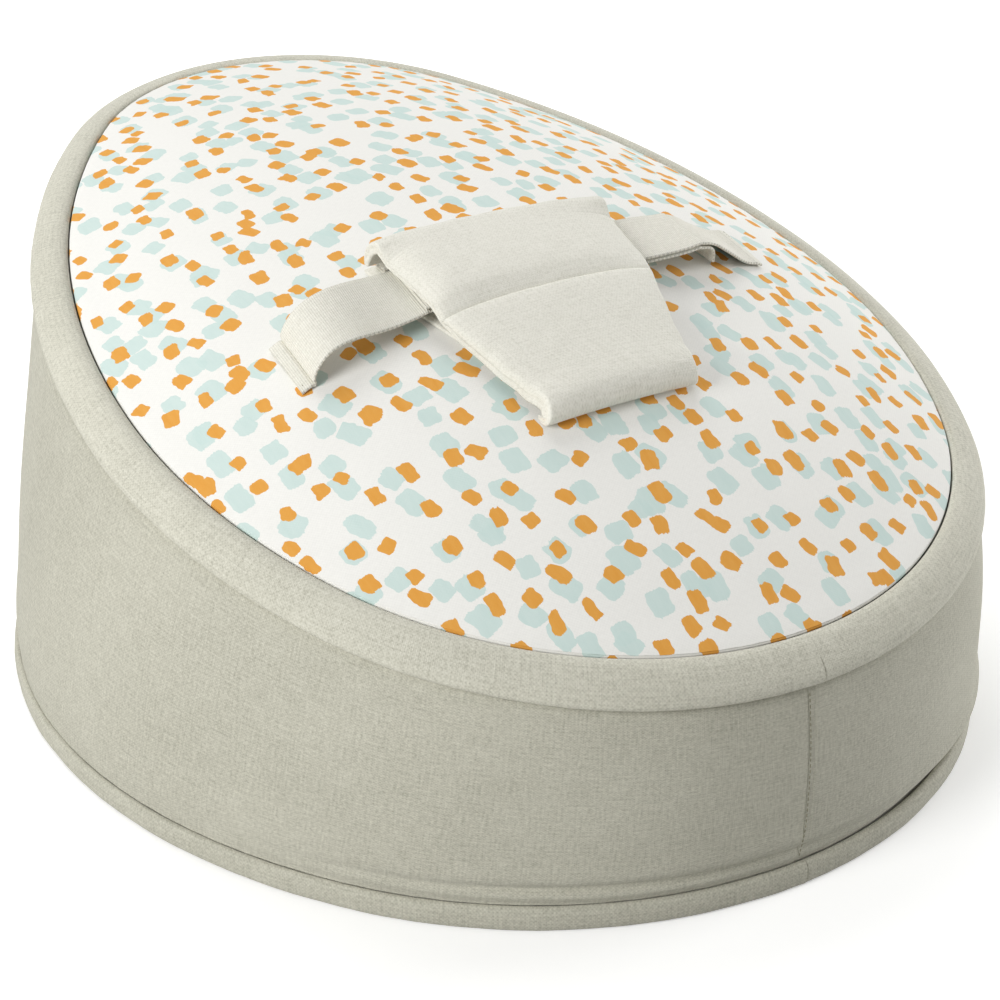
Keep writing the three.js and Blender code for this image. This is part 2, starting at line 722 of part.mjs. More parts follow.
// Its free end comes back under it and hangs down in the arch. Each row is a share of the way from the
// arch's start to the free end, and a share of the drop.
const tailUnder = webbing.thickness + 2 * gap;
const tailShares = [[0, 0], [0.4, 0], [0.8, 0], [0.95, 0.33], [1, 1]];
const tailRoute = [
  new THREE.Vector2(strapStart, tailHeight),
  ...tailShares.map(([along, drop]) => {
    const x = THREE.MathUtils.lerp(webbing.archStart, tail.length, along);
    return new THREE.Vector2(x, heightOn(rightRoute, x) - tailUnder - drop * tail.hang);
  }),
];
addPiece(harness, 'strap_tail', ribbon(tailRoute, rightFoot), cloth(colours.webbing));

// Crotch base: the layer under the belt, sewn to the cover, which the pad folds back over

function padHalfWidth(y) {
  const upper = y > pad.crease;
  const share = upper
    ? (y - pad.crease) / (pad.head - pad.crease)
    : (y - pad.crease) / (pad.foot - pad.crease);
  return THREE.MathUtils.lerp(pad.creaseWidth, upper ? pad.headWidth : pad.footWidth, share) / 2;
}
const baseHead = pad.head + padBase.headRun;
addPiece(harness, 'crotch_base', patch(
  seatUnder,
  (y) => pad.offsetX - padHalfWidth(y) + padBase.inset,
  (y) => pad.offsetX + padHalfWidth(y) - padBase.inset,
  pad.foot, baseHead, gap, gap + padBase.thickness,
), cloth(colours.padding));

// Touch-and-close strips under the pad's lip

const baseTop = gap + padBase.thickness;
const stripHalf = padHalfWidth(pad.head) - touchStrip.shortfall;

function touchPatch(low) {
  return patch(
    seatUnder, () => pad.offsetX - stripHalf, () => pad.offsetX + stripHalf,
    pad.head - touchStrip.width / 2, pad.head + touchStrip.width / 2, low, low + touchStrip.thickness,
  );
}
addPiece(harness, 'loop_patch', touchPatch(baseTop + gap), cloth(colours.touch));
const hookLow = baseTop + gap + touchStrip.thickness + gap;
addPiece(harness, 'hook_patch', touchPatch(hookLow), cloth(colours.touch));

// Pad: two crowned cushions with drawn-in ends, joined at the sewn crease

const acrossShares = Array.from({ length: padSteps + 1 }, (_, i) => (2 * i) / padSteps - 1);

// How full the padding is across its width: full in the middle, thin at the sewn ends.
function fullness(across) {
  return Math.sqrt(1 - across ** 4);
}

// Lower cushion: each row is a share of the way from crease to foot, of its fullness and of its lift.
// It lies on the crotch base at the foot and is lifted towards the crease, where the belt holds it up.
const lowerShares = [
  [0, 0, 1], [0.06, 0.5, 1], [0.16, 0.85, 0.97], [0.35, 1, 0.85], [0.6, 1, 0.5], [0.8, 0.97, 0.2],
  [0.93, 0.85, 0.04], [1, 0.62, 0],
];
addPiece(harness, 'pad_lower', sweptBody(acrossShares.map((across) => {
  const low = [];
  const high = [];
  lowerShares.forEach(([along, full, lift]) => {
    const y = THREE.MathUtils.lerp(pad.crease - gap, pad.foot, along);
    const x = pad.offsetX + across * padHalfWidth(y);
    const floor = seatUnder(x, y) + baseTop + gap + lift * pad.foldLift;
    const swell = (pad.foldThickness - pad.edge) * full * fullness(across);
    low.push(new THREE.Vector3(x, y, floor));
    high.push(new THREE.Vector3(x, y, floor + pad.edge + swell));
  });
  return [...low, ...high.toReversed()];
}), false), cloth(colours.padding));

// Upper cushion: it rises from the crease, passes over the belt and turns down in a lip at the head
// side. Each row is a share of the way from crease to lip, of the pad's height, of its fullness, and
// of how closely it follows the seat; where it follows less, its ends sag more.
const creaseHeight = baseTop + gap + pad.foldLift + pad.edge / 2;
const freeRideShare = 0.32;
const upperShares = [
  [0, 0, 0, 1], [0.04, 0.08, 0.3, 0.9], [0.1, 0.5, 0.6, 0.68], [0.155, 0.85, 0.85, 0.45],
  [0.27, 0.97, 0.97, 0.36], [0.4, 1, 1, freeRideShare], [0.6, 1, 1, freeRideShare],
];
const lipShares = [[0.78, 0.96, 0.9, 0.36], [0.88, 0.82, 0.7, 0.5], [0.96, 0.46, 0.5, 0.8], [1, 0, 0.4, 1]];

function upperMiddle(low, across, [along, up, , ride]) {
  const y = THREE.MathUtils.lerp(pad.crease + 2 * gap, pad.head, along);
  const x = pad.offsetX + across * padHalfWidth(y);
  const free = (1 - ride) / (1 - freeRideShare);
  const sag = across > 0 ? pad.rightSag * across ** 3 : pad.leftSag * across ** 8;
  const height = THREE.MathUtils.lerp(low, pad.height, up);
  return new THREE.Vector3(x, y, height + ride * seatUnder(x, y) - free * sag);
}

addPiece(harness, 'pad_upper', sweptBody(acrossShares.map((across) => {
  const rows = [...upperShares, ...lipShares];
  const middles = [
    ...upperShares.map((row) => upperMiddle(creaseHeight, across, row)),
    ...lipShares.map((row) => upperMiddle(pad.lipHeight, across, row)),
  ];
  const under = [];
  const over = [];
  middles.forEach((middle, i) => {
    const before = middles[Math.max(i - 1, 0)];
    const after = middles[Math.min(i + 1, middles.length - 1)];
    const away = new THREE.Vector3(0, before.z - after.z, after.y - before.y).normalize();
    const full = rows[i][2] * fullness(across);
    const start = i < middles.length / 2 ? pad.creaseThickness : pad.lipThickness;
    const base = THREE.MathUtils.lerp(pad.edge, start, fullness(across));
    const half = THREE.MathUtils.lerp(base, Math.max(pad.thickness, base), full) / 2;
    under.push(middle.clone().addScaledVector(away, -half));
    over.push(middle.clone().addScaledVector(away, half));
  });
  return [...under, ...over.toReversed()];
}), false), cloth(colours.padding));

export default bag;
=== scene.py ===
# %% [markdown]
# # A baby beanbag
#
# The real thing is a bag of polystyrene beads with an egg-shaped floor and a sloping seat. A canvas
# wall and a rim band hold the shape, a printed cotton panel is zipped in as the seat, and a padded
# crotch panel folds over a webbing belt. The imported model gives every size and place. This script
# dresses it: each cloth piece is built again as a fine mesh and gets a material of its own.

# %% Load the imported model
import math

import bpy
import numpy as np
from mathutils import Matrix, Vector


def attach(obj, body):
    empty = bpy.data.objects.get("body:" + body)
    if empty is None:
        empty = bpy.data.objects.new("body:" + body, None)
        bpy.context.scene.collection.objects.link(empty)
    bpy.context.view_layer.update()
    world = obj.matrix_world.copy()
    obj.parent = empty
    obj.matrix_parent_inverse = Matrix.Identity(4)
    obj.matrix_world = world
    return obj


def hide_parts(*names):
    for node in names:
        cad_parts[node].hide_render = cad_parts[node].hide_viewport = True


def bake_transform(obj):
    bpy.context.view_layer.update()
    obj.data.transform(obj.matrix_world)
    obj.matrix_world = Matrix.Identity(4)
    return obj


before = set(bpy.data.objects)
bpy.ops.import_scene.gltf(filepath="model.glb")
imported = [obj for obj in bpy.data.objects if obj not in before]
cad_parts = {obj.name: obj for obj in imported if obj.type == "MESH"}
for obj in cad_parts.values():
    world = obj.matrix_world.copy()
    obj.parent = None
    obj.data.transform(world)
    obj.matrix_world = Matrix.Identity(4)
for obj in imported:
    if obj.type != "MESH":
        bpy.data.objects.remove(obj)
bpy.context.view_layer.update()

# %% [markdown]
# ## Camera
#
# The photograph looks down on the bag from the left of its foot end. The view could be guessed and
# nudged, but a camera fitted to the floor line and the seams holds at every point of the picture. It
# gave an azimuth, an elevation, a distance and a lens, and they are used as they came.

# %% Place the camera
MM = 0.001
VIEW_AZIMUTH = math.radians(-31.4)
VIEW_ELEVATION = math.radians(25.74)
VIEW_DISTANCE = 1157 * MM
VIEW_TARGET = Vector((15.2, -4.3, 75.0)) * MM
LENS_MM = 72.0
SENSOR_MM = 36.0


def add_object(name, data):
    """Puts a mesh, a lamp or a camera into the scene."""
    piece = bpy.data.objects.new(name, data)
    bpy.context.scene.collection.objects.link(piece)
    return piece


def aim(piece, place, direction):
    """Moves a camera or a lamp to a place and makes it look in a direction."""
    piece.location = place
    piece.rotation_mode = "QUATERNION"
    piece.rotation_quaternion = direction.to_track_quat("-Z", "Y")


def place_camera():
    toward_camera = Vector((
        math.sin(VIEW_AZIMUTH) * math.cos(VIEW_ELEVATION),
        -math.cos(VIEW_AZIMUTH) * math.cos(VIEW_ELEVATION),
        math.sin(VIEW_ELEVATION),
    ))
    lens = bpy.data.cameras.new("camera")
    lens.lens = LENS_MM
    lens.sensor_width = SENSOR_MM
    lens.clip_start = 0.05
    camera = add_object("camera", lens)
    aim(camera, VIEW_TARGET + toward_camera * VIEW_DISTANCE, -toward_camera)
    bpy.context.scene.camera = camera
    print("camera at", [round(side, 3) for side in camera.location])


place_camera()

# %% [markdown]
# ## The egg outline
#
# The floor and the rim are both egg shapes, drawn by a pattern cutter as four arcs that meet smoothly.
# A spline would need many points and would wobble. Arcs need five sizes, so one function gives how far
# the outline reaches in any direction, and all the round pieces share it.

# %% Describe the outlines and the planes they lie in
QUARTER = math.pi / 2
FLOOR_OUTLINE = {
    "half_length": 300, "half_width": 262, "head_radius": 191, "foot_radius": 243, "widest_y": -3}
SEAT_OUTLINE = {
    "half_length": 314, "half_width": 233, "head_radius": 167, "foot_radius": 220, "widest_y": -41}
FLOOR_SHIFT = -4
SEAT_SHIFT = 2
HEAD_SEAM_HEIGHT = 262
FOOT_SEAM_HEIGHT = 112.5
BASE_BAND_HEIGHT = 13
RIM_WIDTH = 16
RIM_HEIGHT = 13
CROWN = 54
CROWN_POWER = 2.06
COVER_INSET = RIM_WIDTH + 1.4
BELT_Y = -60
GAP = 0.4

TILT = math.asin((HEAD_SEAM_HEIGHT - FOOT_SEAM_HEIGHT) / (2 * SEAT_OUTLINE["half_length"]))


def outline_reach(outline, inset, angle):
    """How far the outline reaches from its middle point, in mm, in the direction of each angle."""
    angle = np.asarray(angle, float)
    to_head = np.sin(angle) >= 0
    end_radius = np.where(to_head, outline["head_radius"], outline["foot_radius"]) - inset
    end_reach = outline["half_length"] - inset + np.where(to_head, -1, 1) * outline["widest_y"]
    half_width = outline["half_width"] - inset
    rise = end_reach - end_radius
    spare = half_width - end_radius
    side_shift = (rise**2 - spare**2) / (2 * spare)
    across, along = np.abs(np.cos(angle)), np.abs(np.sin(angle))
    side = np.sqrt((half_width + side_shift) ** 2 - (side_shift * along) ** 2) - side_shift * across
    on_side = np.arctan2(side * along, side * across + side_shift) <= np.arctan2(rise, side_shift)
    inside = np.maximum(end_radius**2 - (rise * across) ** 2, 0)
    return np.where(on_side, side, rise * along + np.sqrt(inside))


def outline_point(outline, inset, height, angle):
    """A point of an outline at each angle, at a height over the outline's plane."""
    reach = outline_reach(outline, inset, angle)
    y = outline["widest_y"] + reach * np.sin(angle)
    return np.stack(np.broadcast_arrays(reach * np.cos(angle), y, height), -1)


def turned(points, angle, origin):
    """Points turned about X and then moved to an origin."""
    c, s = math.cos(angle), math.sin(angle)
    points = np.asarray(points, float)
    x, y, z = points[..., 0], points[..., 1], points[..., 2]
    return np.stack([x, y * c - z * s, y * s + z * c], -1) + np.asarray(origin, float)


def rim_to_world(points):
    """From the tilted plane of the seat's seam to the bag's own axes."""
    return turned(points, TILT, (0, SEAT_SHIFT, (HEAD_SEAM_HEIGHT + FOOT_SEAM_HEIGHT) / 2))


def rim_point(inset, height, angle):
    return rim_to_world(outline_point(SEAT_OUTLINE, inset, height, angle))


def floor_point(inset, height, angle):
    return outline_point(FLOOR_OUTLINE, inset, height, angle) + np.array([0, FLOOR_SHIFT, 0])


print("seat slopes at", round(math.degrees(TILT), 1), "degrees")

# %% [markdown]
# ## The crowned seat and the harness on it
#
# The beads push the seat up in a low crown. One formula holds its height, so the printed panel, the
# belt and the pad can all be laid on the same surface. The harness gets its own axes where the belt
# crosses: x across, y up the seat and z out of it.

# %% Describe the crown and the harness's axes
WEBBING_WIDTH = 38
HALF_WEBBING = WEBBING_WIDTH / 2


def crown_height(share):
    return RIM_HEIGHT + CROWN * (1 - np.clip(share, 0, 1) ** CROWN_POWER)


def seat_height(x, y):
    from_middle_y = np.asarray(y, float) - SEAT_OUTLINE["widest_y"]
    reach = outline_reach(SEAT_OUTLINE, COVER_INSET, np.arctan2(from_middle_y, x))
    return crown_height(np.hypot(x, from_middle_y) / reach)


BELT_HEIGHT = float(seat_height(0, BELT_Y))
BELT_SLOPE = math.atan2(
    float(seat_height(0, BELT_Y + HALF_WEBBING) - seat_height(0, BELT_Y - HALF_WEBBING)), WEBBING_WIDTH)


def seat_under(x, y):
    """Height of the printed surface over the harness's plane."""
    height = seat_height(x, BELT_Y + np.asarray(y, float) * math.cos(BELT_SLOPE)) - BELT_HEIGHT
    return (height - np.asarray(y, float) * math.sin(BELT_SLOPE)) / math.cos(BELT_SLOPE)


def harness_to_world(points):
    return rim_to_world(turned(points, BELT_SLOPE, (0, BELT_Y, BELT_HEIGHT)))


print("belt slopes at", round(math.degrees(TILT + BELT_SLOPE), 1), "degrees")

# %% [markdown]
# ## Meshes from rows of points
#
# Each cloth piece is a grid: rows run one way across the cloth and columns the other. Blender's own
# primitives would need heavy sculpting to follow the egg. A grid follows it at once, and it can carry a
# second set of coordinates that says where each point lay on the flat cloth, in metres. The weave and
# the print read those, so threads run along the cloth as they do on a sewn piece.

# %% Make meshes from grids


def grid_faces(rows, columns, wrap_rows=False):
    """The corner numbers of every face in a grid whose last column meets its first, with the cloth corner
    numbers beside them. The cloth is one column wider, because it lies open."""
    i, j = np.meshgrid(np.arange(rows if wrap_rows else rows - 1), np.arange(columns), indexing="ij")
    i, j = i.ravel(), j.ravel()
    here, above, beside = i * columns, (i + 1) % rows * columns, (j + 1) % columns
    corners = np.stack([here + j, above + j, above + beside, here + beside], -1)
    wide = columns + 1
    cloth = (i * wide + j)[:, None] + np.array([0, wide, wide + 1, 1])
    return corners, cloth


def add_mesh(name, points_mm, faces):
    mesh = bpy.data.meshes.new(name)
    mesh.from_pydata((points_mm * MM).tolist(), [], faces)
    mesh.polygons.foreach_set("use_smooth", [True] * len(faces))
    mesh.update()
    return add_object(name, mesh)


def cloth_mesh(name, points_mm, cloth_mm, wrap_rows=False, capped=False):
    """A smooth mesh through points[row, column], closed from its last column to its first, with its place
    on the flat cloth as a UV map. Caps close the cut ends, with corners of their own."""
    rows, columns = points_mm.shape[:2]
    corners, cloth = grid_faces(rows, columns, wrap_rows)
    points, faces = points_mm.reshape(-1, 3), corners.tolist()
    flat = cloth_mm.reshape(-1, 2)[cloth.ravel()]
    if capped:
        rim = np.roll(cloth_mm[:, 1:], 1, axis=1)
        faces += [[len(points) + end * columns + j for j in range(columns)] for end in (0, 1)]
        points = np.concatenate([points, points_mm[0, ::-1], points_mm[-1]])
        flat = np.concatenate([flat, rim[0, ::-1], rim[-1]])
    piece = add_mesh(name, points, faces)
    layer = piece.data.uv_layers.new(name="cloth")
    layer.data.foreach_set("uv", (flat * MM).ravel().astype(np.float32))
    for cap in piece.data.polygons[len(corners):]:
        cap.use_smooth = False
    return piece


def travelled(points):
    """Distance along a line of points to each of them, or down each column of a grid of points."""
    steps = np.linalg.norm(np.diff(points, axis=0), axis=-1)
    return np.concatenate([0 * steps[:1], np.cumsum(steps, 0)])


def ring_lengths(points):
    """Distance round a closed ring to each point, and back to the first."""
    return travelled(np.concatenate([points, points[:1]]))


def unit(vectors):
    return vectors / np.linalg.norm(vectors, axis=-1, keepdims=True)


def smooth_line(points, count, closed=False):
    """A smooth line of evenly parted points through a few given ones."""
    points = np.asarray(points, float)
    if closed:
        padded = np.concatenate([points[-1:], points, points[:2]])
    else:
        padded = np.concatenate([2 * points[:1] - points[1:2], points, 2 * points[-1:] - points[-2:-1]])
    spans = len(padded) - 3
    t = np.linspace(0, spans, 24 * spans + 1)
    k = np.minimum(t.astype(int), spans - 1)
    u = (t - k)[:, None]
    a, b, c, d = (padded[k + i] for i in range(4))
    fine = 0.5 * (2 * b + (c - a) * u + (2 * a - 5 * b + 4 * c - d) * u**2 + (3 * b - a - 3 * c + d) * u**3)
    length = travelled(fine)
    stops = np.linspace(0, length[-1], count, endpoint=not closed)
    return np.stack([np.interp(stops, length, fine[:, i]) for i in range(points.shape[1])], -1)


def bump(value, middle, width):
    """1 at the middle, falling away on both sides over a width."""
    return np.exp(-(((value - middle) / width) ** 2))


def ripple(length, wave, seed):
    """Uneven waves along a length, about from -1 to 1, the same on every run."""
    turns = 2 * math.pi * np.asarray(length, float) / wave
    short_wave, long_wave = np.sin(1.63 * turns + 2.3 * seed), np.sin(0.57 * turns - seed)
    return (np.sin(turns + seed) + 0.6 * short_wave + 0.4 * long_wave) / 2


# %% [markdown]
# ## Colours and nodes
#
# Colours are read off a picture as sRGB hex values, and Blender's shaders want linear light, so one
# function turns them. One function adds a node with its settings and links, so that each material
# reads as a short list of what it is made of.

# %% Helpers for materials


def linear(hex_colour):
    """An sRGB hex colour as linear RGBA."""
    shares = [int(hex_colour[i:i + 2], 16) / 255 for i in (1, 3, 5)]
    return tuple(c / 12.92 if c <= 0.04045 else ((c + 0.055) / 1.055) ** 2.4 for c in shares) + (1.0,)


def adds_to(tree):
    """The one function that adds a node, for a given tree."""

    def add(kind, *values, out=None, sockets=None, **settings):
        """Adds a node with its settings and gives back an output of it, by name or else its first. A kind
        may end in an operation. Values go into the node's sockets in order, those in sockets by name: each
        a number, a colour or an output to link."""
        kind, _, operation = kind.partition(" ")
        node = tree.nodes.new("ShaderNode" + kind)
        if operation:
            node.operation = operation
        for name, value in settings.items():
            setattr(node, name, value)
        targets = list(zip([socket for socket in node.inputs if socket.enabled], values))
        targets += [(node.inputs[name], value) for name, value in (sockets or {}).items()]
        for socket, value in targets:
            if isinstance(value, bpy.types.NodeSocket):
                tree.links.new(value, socket)
            else:
                socket.default_value = value
        return node.outputs[out] if out else next((socket for socket in node.outputs if socket.enabled), None)

    return add


def new_material(name):
    material = bpy.data.materials.new(name)
    material.use_nodes = True
    return material, adds_to(material.node_tree)


def finish(material, colour, height, depth_mm, strength, numbers, invert=False):
    """Gives a material its colour, a relief of a depth, and the plain numbers of its surface."""
    tree = material.node_tree
    shader = tree.nodes["Principled BSDF"]
    shape = {"Height": height, "Distance": depth_mm * MM, "Strength": strength}
    relief = adds_to(tree)("Bump", sockets=shape, invert=invert)
    tree.links.new(colour, shader.inputs["Base Color"])
    tree.links.new(relief, shader.inputs["Normal"])
    for name, value in numbers.items():
        shader.inputs[name].default_value = value
    return material


def cloth_place(add, scale=(1.0, 1.0, 1.0), shift=(0.0, 0.0, 0.0)):
    """The place on the flat cloth, in metres, times a scale."""
    place = add("UVMap", uv_map="cloth")
    return add("VectorMath MULTIPLY_ADD", place, scale, shift)


# %% [markdown]
# ## Cotton canvas
#
# Canvas is a plain weave of thick cotton yarns: each yarn goes over one and under the next. To the eye
# that is a fine grid of bumps, with light and dark flecks where yarns of slightly different colour and
# thickness cross. It could be a picture of cloth, but that would repeat. The product of two sine waves
# gives the over-and-under grid, and two stretched noises give the uneven yarns. Real yarns are 0.6 mm
# apart, which is finer than the render shows, so they are drawn 0.95 mm apart.

# %% Weave and canvas
CANVAS_PITCH_MM = 0.95
# How fast a yarn's colour changes along it, as a share of how fast it changes from yarn to yarn.
YARN_SHARE = 0.06


def weave(add, pitch):
    """Over-and-under grid, from -1 to 1: above 0 the warp is on top, below 0 the weft."""
    place = add("SeparateXYZ", cloth_place(add)).node.outputs
    warp, weft = (add("Math SINE", add("Math MULTIPLY", side, math.pi / pitch)) for side in place[:2])
    return add("Math MULTIPLY", warp, weft)


def canvas(name, pale, mid, dark, pitch_mm=CANVAS_PITCH_MM, fleck=1.0):
    """Matt plain-weave cotton in three shades of one colour."""
    material, add = new_material(name)
    pitch = pitch_mm * MM
    over_under = weave(add, pitch)
    warp_place = cloth_place(add, (1 / pitch, YARN_SHARE / pitch, 1))
    weft_place = cloth_place(add, (YARN_SHARE / pitch, 1 / pitch, 1), (7.3, 2.1, 0))
    flecks = add("TexNoise", cloth_place(add), 0.55 / pitch, 3.0, 0.7)
    wear = add("TexNoise", cloth_place(add), 9.0)
    shade = add("Math MULTIPLY_ADD", over_under, 0.12, 0.5)
    warp_yarns, weft_yarns = (add("TexNoise", place, 1.0) for place in (warp_place, weft_place))
    for yarns, strength in ((warp_yarns, 0.6), (weft_yarns, 0.6), (flecks, 1.3), (wear, 0.35)):
        shade = add("Math MULTIPLY_ADD", add("Math SUBTRACT", yarns, 0.5), strength * fleck, shade)
    ramp = add("ValToRGB", shade)
    shades = ramp.node.color_ramp.elements
    shades[0].position, shades[1].position = 0.12, 0.9
    shades[0].color, shades[1].color = linear(dark), linear(pale)
    shades.new(0.5).color = linear(mid)
    height = add("Math MULTIPLY_ADD", flecks, 0.9, add("Math ABSOLUTE", over_under))
    return finish(material, ramp, height, 0.2, 0.45, {
        "Roughness": 0.92, "Specular IOR Level": 0.25, "Sheen Weight": 0.12, "Sheen Roughness": 0.6})


wall_canvas = canvas("cotton_canvas_grey_beige", "#d0cebf", "#bcbaab", "#a19f90")
# The rim band is the wall's canvas in lighter shades: painted light for the light that falls on its upturned
# roll.
rim_canvas_painted_lighter = canvas("cotton_canvas_grey_beige_painted_lighter", "#dddbcd", "#cccabb", "#b2b0a1")
pad_canvas = canvas("cotton_canvas_cream", "#efede3", "#e5e3d8", "#d3d1c4", 0.85, 0.9)
lining_cloth = canvas("polyester_lining_white", "#f1efe8", "#e6e4dc", "#d3d0c6", 0.9, 0.5)
print("canvas yarns drawn", CANVAS_PITCH_MM, "mm apart")

# %% [markdown]
# ## Printed cotton
#
# The seat is a smooth white cotton, screen printed with brush dabs: small ones in orange over larger
# ones in pale mint. Painting each dab would be slow and would fix the layout. A Voronoi texture puts
# one point in each cell of a jittered grid and gives each cell random numbers, which choose whether a
# dab is there, how it is turned and how large it is. Noise wobbles its edge, as a dry brush does.

# %% Dabs and the printed panel's cloth
# Each layer of dabs: how far apart they stand and about how long they are in mm, the share that is there,
# and where its layout starts. Each ink: how far its dabs turn, how they vary in length, how it covers.
MINT_LAYERS = ((23.5, 15.2, 0.84, (0.0, 0.0)), (34, 14.8, 0.72, (5.4, 3.3)))
ORANGE_LAYERS = ((20.5, 10.4, 0.86, (2.7, 8.1)), (58, 10.6, 0.8, (9.2, 1.6)))
MINT_INK = {"turn": 0.7, "stretch": 0.45, "cover": 0.92}
ORANGE_INK = {"turn": 0.9, "stretch": 0.5, "cover": 1.0}


def dabs(add, ink, spacing, size, presence, shift):
    """A mask of brush dabs: 1 inside, 0 outside, with ends as ragged as bristles leave them."""
    place = cloth_place(add, (1 / spacing, 1 / spacing, 0), (*shift, 0))
    cells = add("TexVoronoi", place, 1.0, sockets={"Randomness": 0.62}, voronoi_dimensions="2D").node.outputs
    chance = add("SeparateColor", cells["Color"]).node.outputs
    offset = add("VectorMath SUBTRACT", place, cells["Position"])
    wobble = add("TexNoise", cloth_place(add), 0.16 / MM, 1.5, 0.5, out="Color")
    centred = add("VectorMath SUBTRACT", wobble, (0.5, 0.5, 0.5))
    wander = 4 * MM / spacing
    moved = add("VectorMath MULTIPLY_ADD", centred, (wander, wander, 0), offset)
    angle = add("Math MULTIPLY_ADD", chance[0], ink["turn"], -ink["turn"] / 2 - 0.25)
    local = add("VectorRotate", moved, sockets={"Angle": angle}, rotation_type="Z_AXIS")
    sides = add("SeparateXYZ", local).node.outputs
    half = size / spacing / 2
    powers = []
    for side, number, more, least in (
            (sides[1], chance[1], ink["stretch"], 0.72), (sides[0], chance[2], 0.25, 0.62)):
        extent = add("Math MULTIPLY_ADD", number, more * half, least * half)
        reach = add("Math DIVIDE", add("Math ABSOLUTE", side), extent)
        powers.append(add("Math POWER", reach, 4.2))
    along_brush = (spacing / (0.9 * MM), spacing / (5 * MM), 0)
    bristles = add("VectorMath MULTIPLY_ADD", local, along_brush, cells["Position"])
    bristles = add("TexNoise", bristles, 1.0, 2.0, 0.6)
    ragged = add("Math MULTIPLY", add("Math SUBTRACT", bristles, 0.42), powers[0])
    outside = add("Math MULTIPLY_ADD", ragged, 1.5, add("Math ADD", *powers))
    edge = add("MapRange", outside, 0.86, 1.12, 1.0, 0.0, interpolation_type="SMOOTHSTEP")
    return add("Math MULTIPLY", edge, add("Math LESS_THAN", chance[2], presence))


def printed_cotton():
    material, add = new_material("printed_cotton_white")
    soft = add("TexNoise", cloth_place(add), 0.5 / MM)
    grain = add("Math MULTIPLY_ADD", weave(add, 0.9 * MM), 0.25, soft)
    brush = add("TexNoise", cloth_place(add, (0.3 / MM, 0.06 / MM, 1)), 1.0, 3.0, 0.7)
    colour = add("Mix", grain, linear("#f3f2ed"), linear("#ebeae5"), data_type="RGBA")
    for ink, wet, dry, layers in (
            (MINT_INK, "#d1e2dd", "#c2d8d3", MINT_LAYERS), (ORANGE_INK, "#e6ab55", "#dd9738", ORANGE_LAYERS)):
        paint = add("Mix", brush, linear(wet), linear(dry), data_type="RGBA")
        for spacing, size, presence, shift in layers:
            mask = dabs(add, ink, spacing * MM, size * MM, presence, shift)
            colour = add("Mix", add("Math MULTIPLY", mask, ink["cover"]), colour, paint, data_type="RGBA")
    return finish(material, colour, grain, 0.12, 0.4, {"Roughness": 0.85, "Specular IOR Level": 0.3})


print_cloth = printed_cotton()

# %% [markdown]
# ## Webbing
#
# The belt is flat polyester webbing with a cotton hand. The weft runs straight across and shows as fine
# ribs, and a darker catch thread runs down each edge in short dashes. Ribs 0.9 mm apart are drawn
# 1.15 mm apart so that they show.

# %% Webbing cloth
RIB_PITCH = 1.15 * MM
CATCH_THREAD = 2.6 * MM
CATCH_WIDTH = 0.7


def webbing_cloth():
    material, add = new_material("woven_webbing_cream")
    place = add("SeparateXYZ", cloth_place(add)).node.outputs
    ribs, yarns, dashes = (
        add("Math SINE", add("Math MULTIPLY", side, 2 * math.pi / wave))
        for side, wave in ((place[0], RIB_PITCH), (place[1], 2 * RIB_PITCH), (place[0], CATCH_THREAD)))
    fuzz = add("TexNoise", cloth_place(add, (0.7 / MM, 0.25 / MM, 1)), 1.0, 3.0, 0.7)
    shade, height = (
        add("Math MULTIPLY_ADD", ribs, rib_share, add("Math MULTIPLY_ADD", yarns, yarn_share, fuzz))
        for rib_share, yarn_share in ((0.2, 0.07), (0.6, 0.3)))
    body = add("Mix", shade, linear("#d2cfc2"), linear("#f3f1e7"), data_type="RGBA")
    edge_line = add("Math GREATER_THAN", add("Math ABSOLUTE", place[1]), (HALF_WEBBING - CATCH_WIDTH) * MM)
    thread = add("Math MULTIPLY", edge_line, add("Math GREATER_THAN", dashes, 0.1))
    colour = add("Mix", add("Math MULTIPLY", thread, 0.4), body, linear("#98958a"), data_type="RGBA")
    return finish(material, colour, height, 0.25, 0.6, {"Roughness": 0.88, "Specular IOR Level": 0.3})


webbing = webbing_cloth()

# %% [markdown]
# ## Moulded and metal parts, thread, beads and touch tape
#
# The buckle is injection-moulded acetal with a satin skin, the zip's coils are nylon, and its slider is
# painted zinc. Each gets typical numbers for its stuff and a little unevenness, because a moulded face
# is never one flat colour. The thread is coloured darker than the real thread, as painted shade for the
# needle holes between stitches. Polystyrene beads are foamed balls a few millimetres across, and the
# pile of a touch tape is a field of loops or hooks, so both are cells of a Voronoi texture, raised in the
# middle and painted darker towards their edges, as painted shade in the gaps between them.

# %% Hard materials, beads and tape


def moulded(name, light, dark, rough, grain_mm, metallic=0.0, depth_mm=0.03):
    """A moulded or painted surface with a fine grain and slightly uneven colour."""
    material, add = new_material(name)
    place = add("TexCoord", out="Object")
    grain = add("TexNoise", place, 1 / (grain_mm * MM), 3.0, 0.6)
    broad = add("Math MULTIPLY", add("TexNoise", place, 60.0), 0.6)
    share = add("Math MULTIPLY_ADD", grain, 0.35, broad)
    colour = add("Mix", share, linear(light), linear(dark), data_type="RGBA")
    return finish(material, colour, grain, depth_mm, 0.5, {"Roughness": rough, "Metallic": metallic})


def raised_cells(name, on_cloth, pale, dark, cell_mm, depth_mm, strength, rough):
    """Beads packed together, or a pile of loops or hooks, with painted shade darkening the gaps between them.
    """
    material, add = new_material(name)
    place = cloth_place(add) if on_cloth else add("TexCoord", out="Object")
    away = add("TexVoronoi", place, 1 / (cell_mm * MM))
    # Painted shade: the colour darkens from each cell's middle towards its edge, into the gaps between beads
    # or loops.
    colour = add("Mix", away, linear(pale), linear(dark), data_type="RGBA")
    return finish(material, colour, away, depth_mm, strength, {"Roughness": rough}, invert=True)


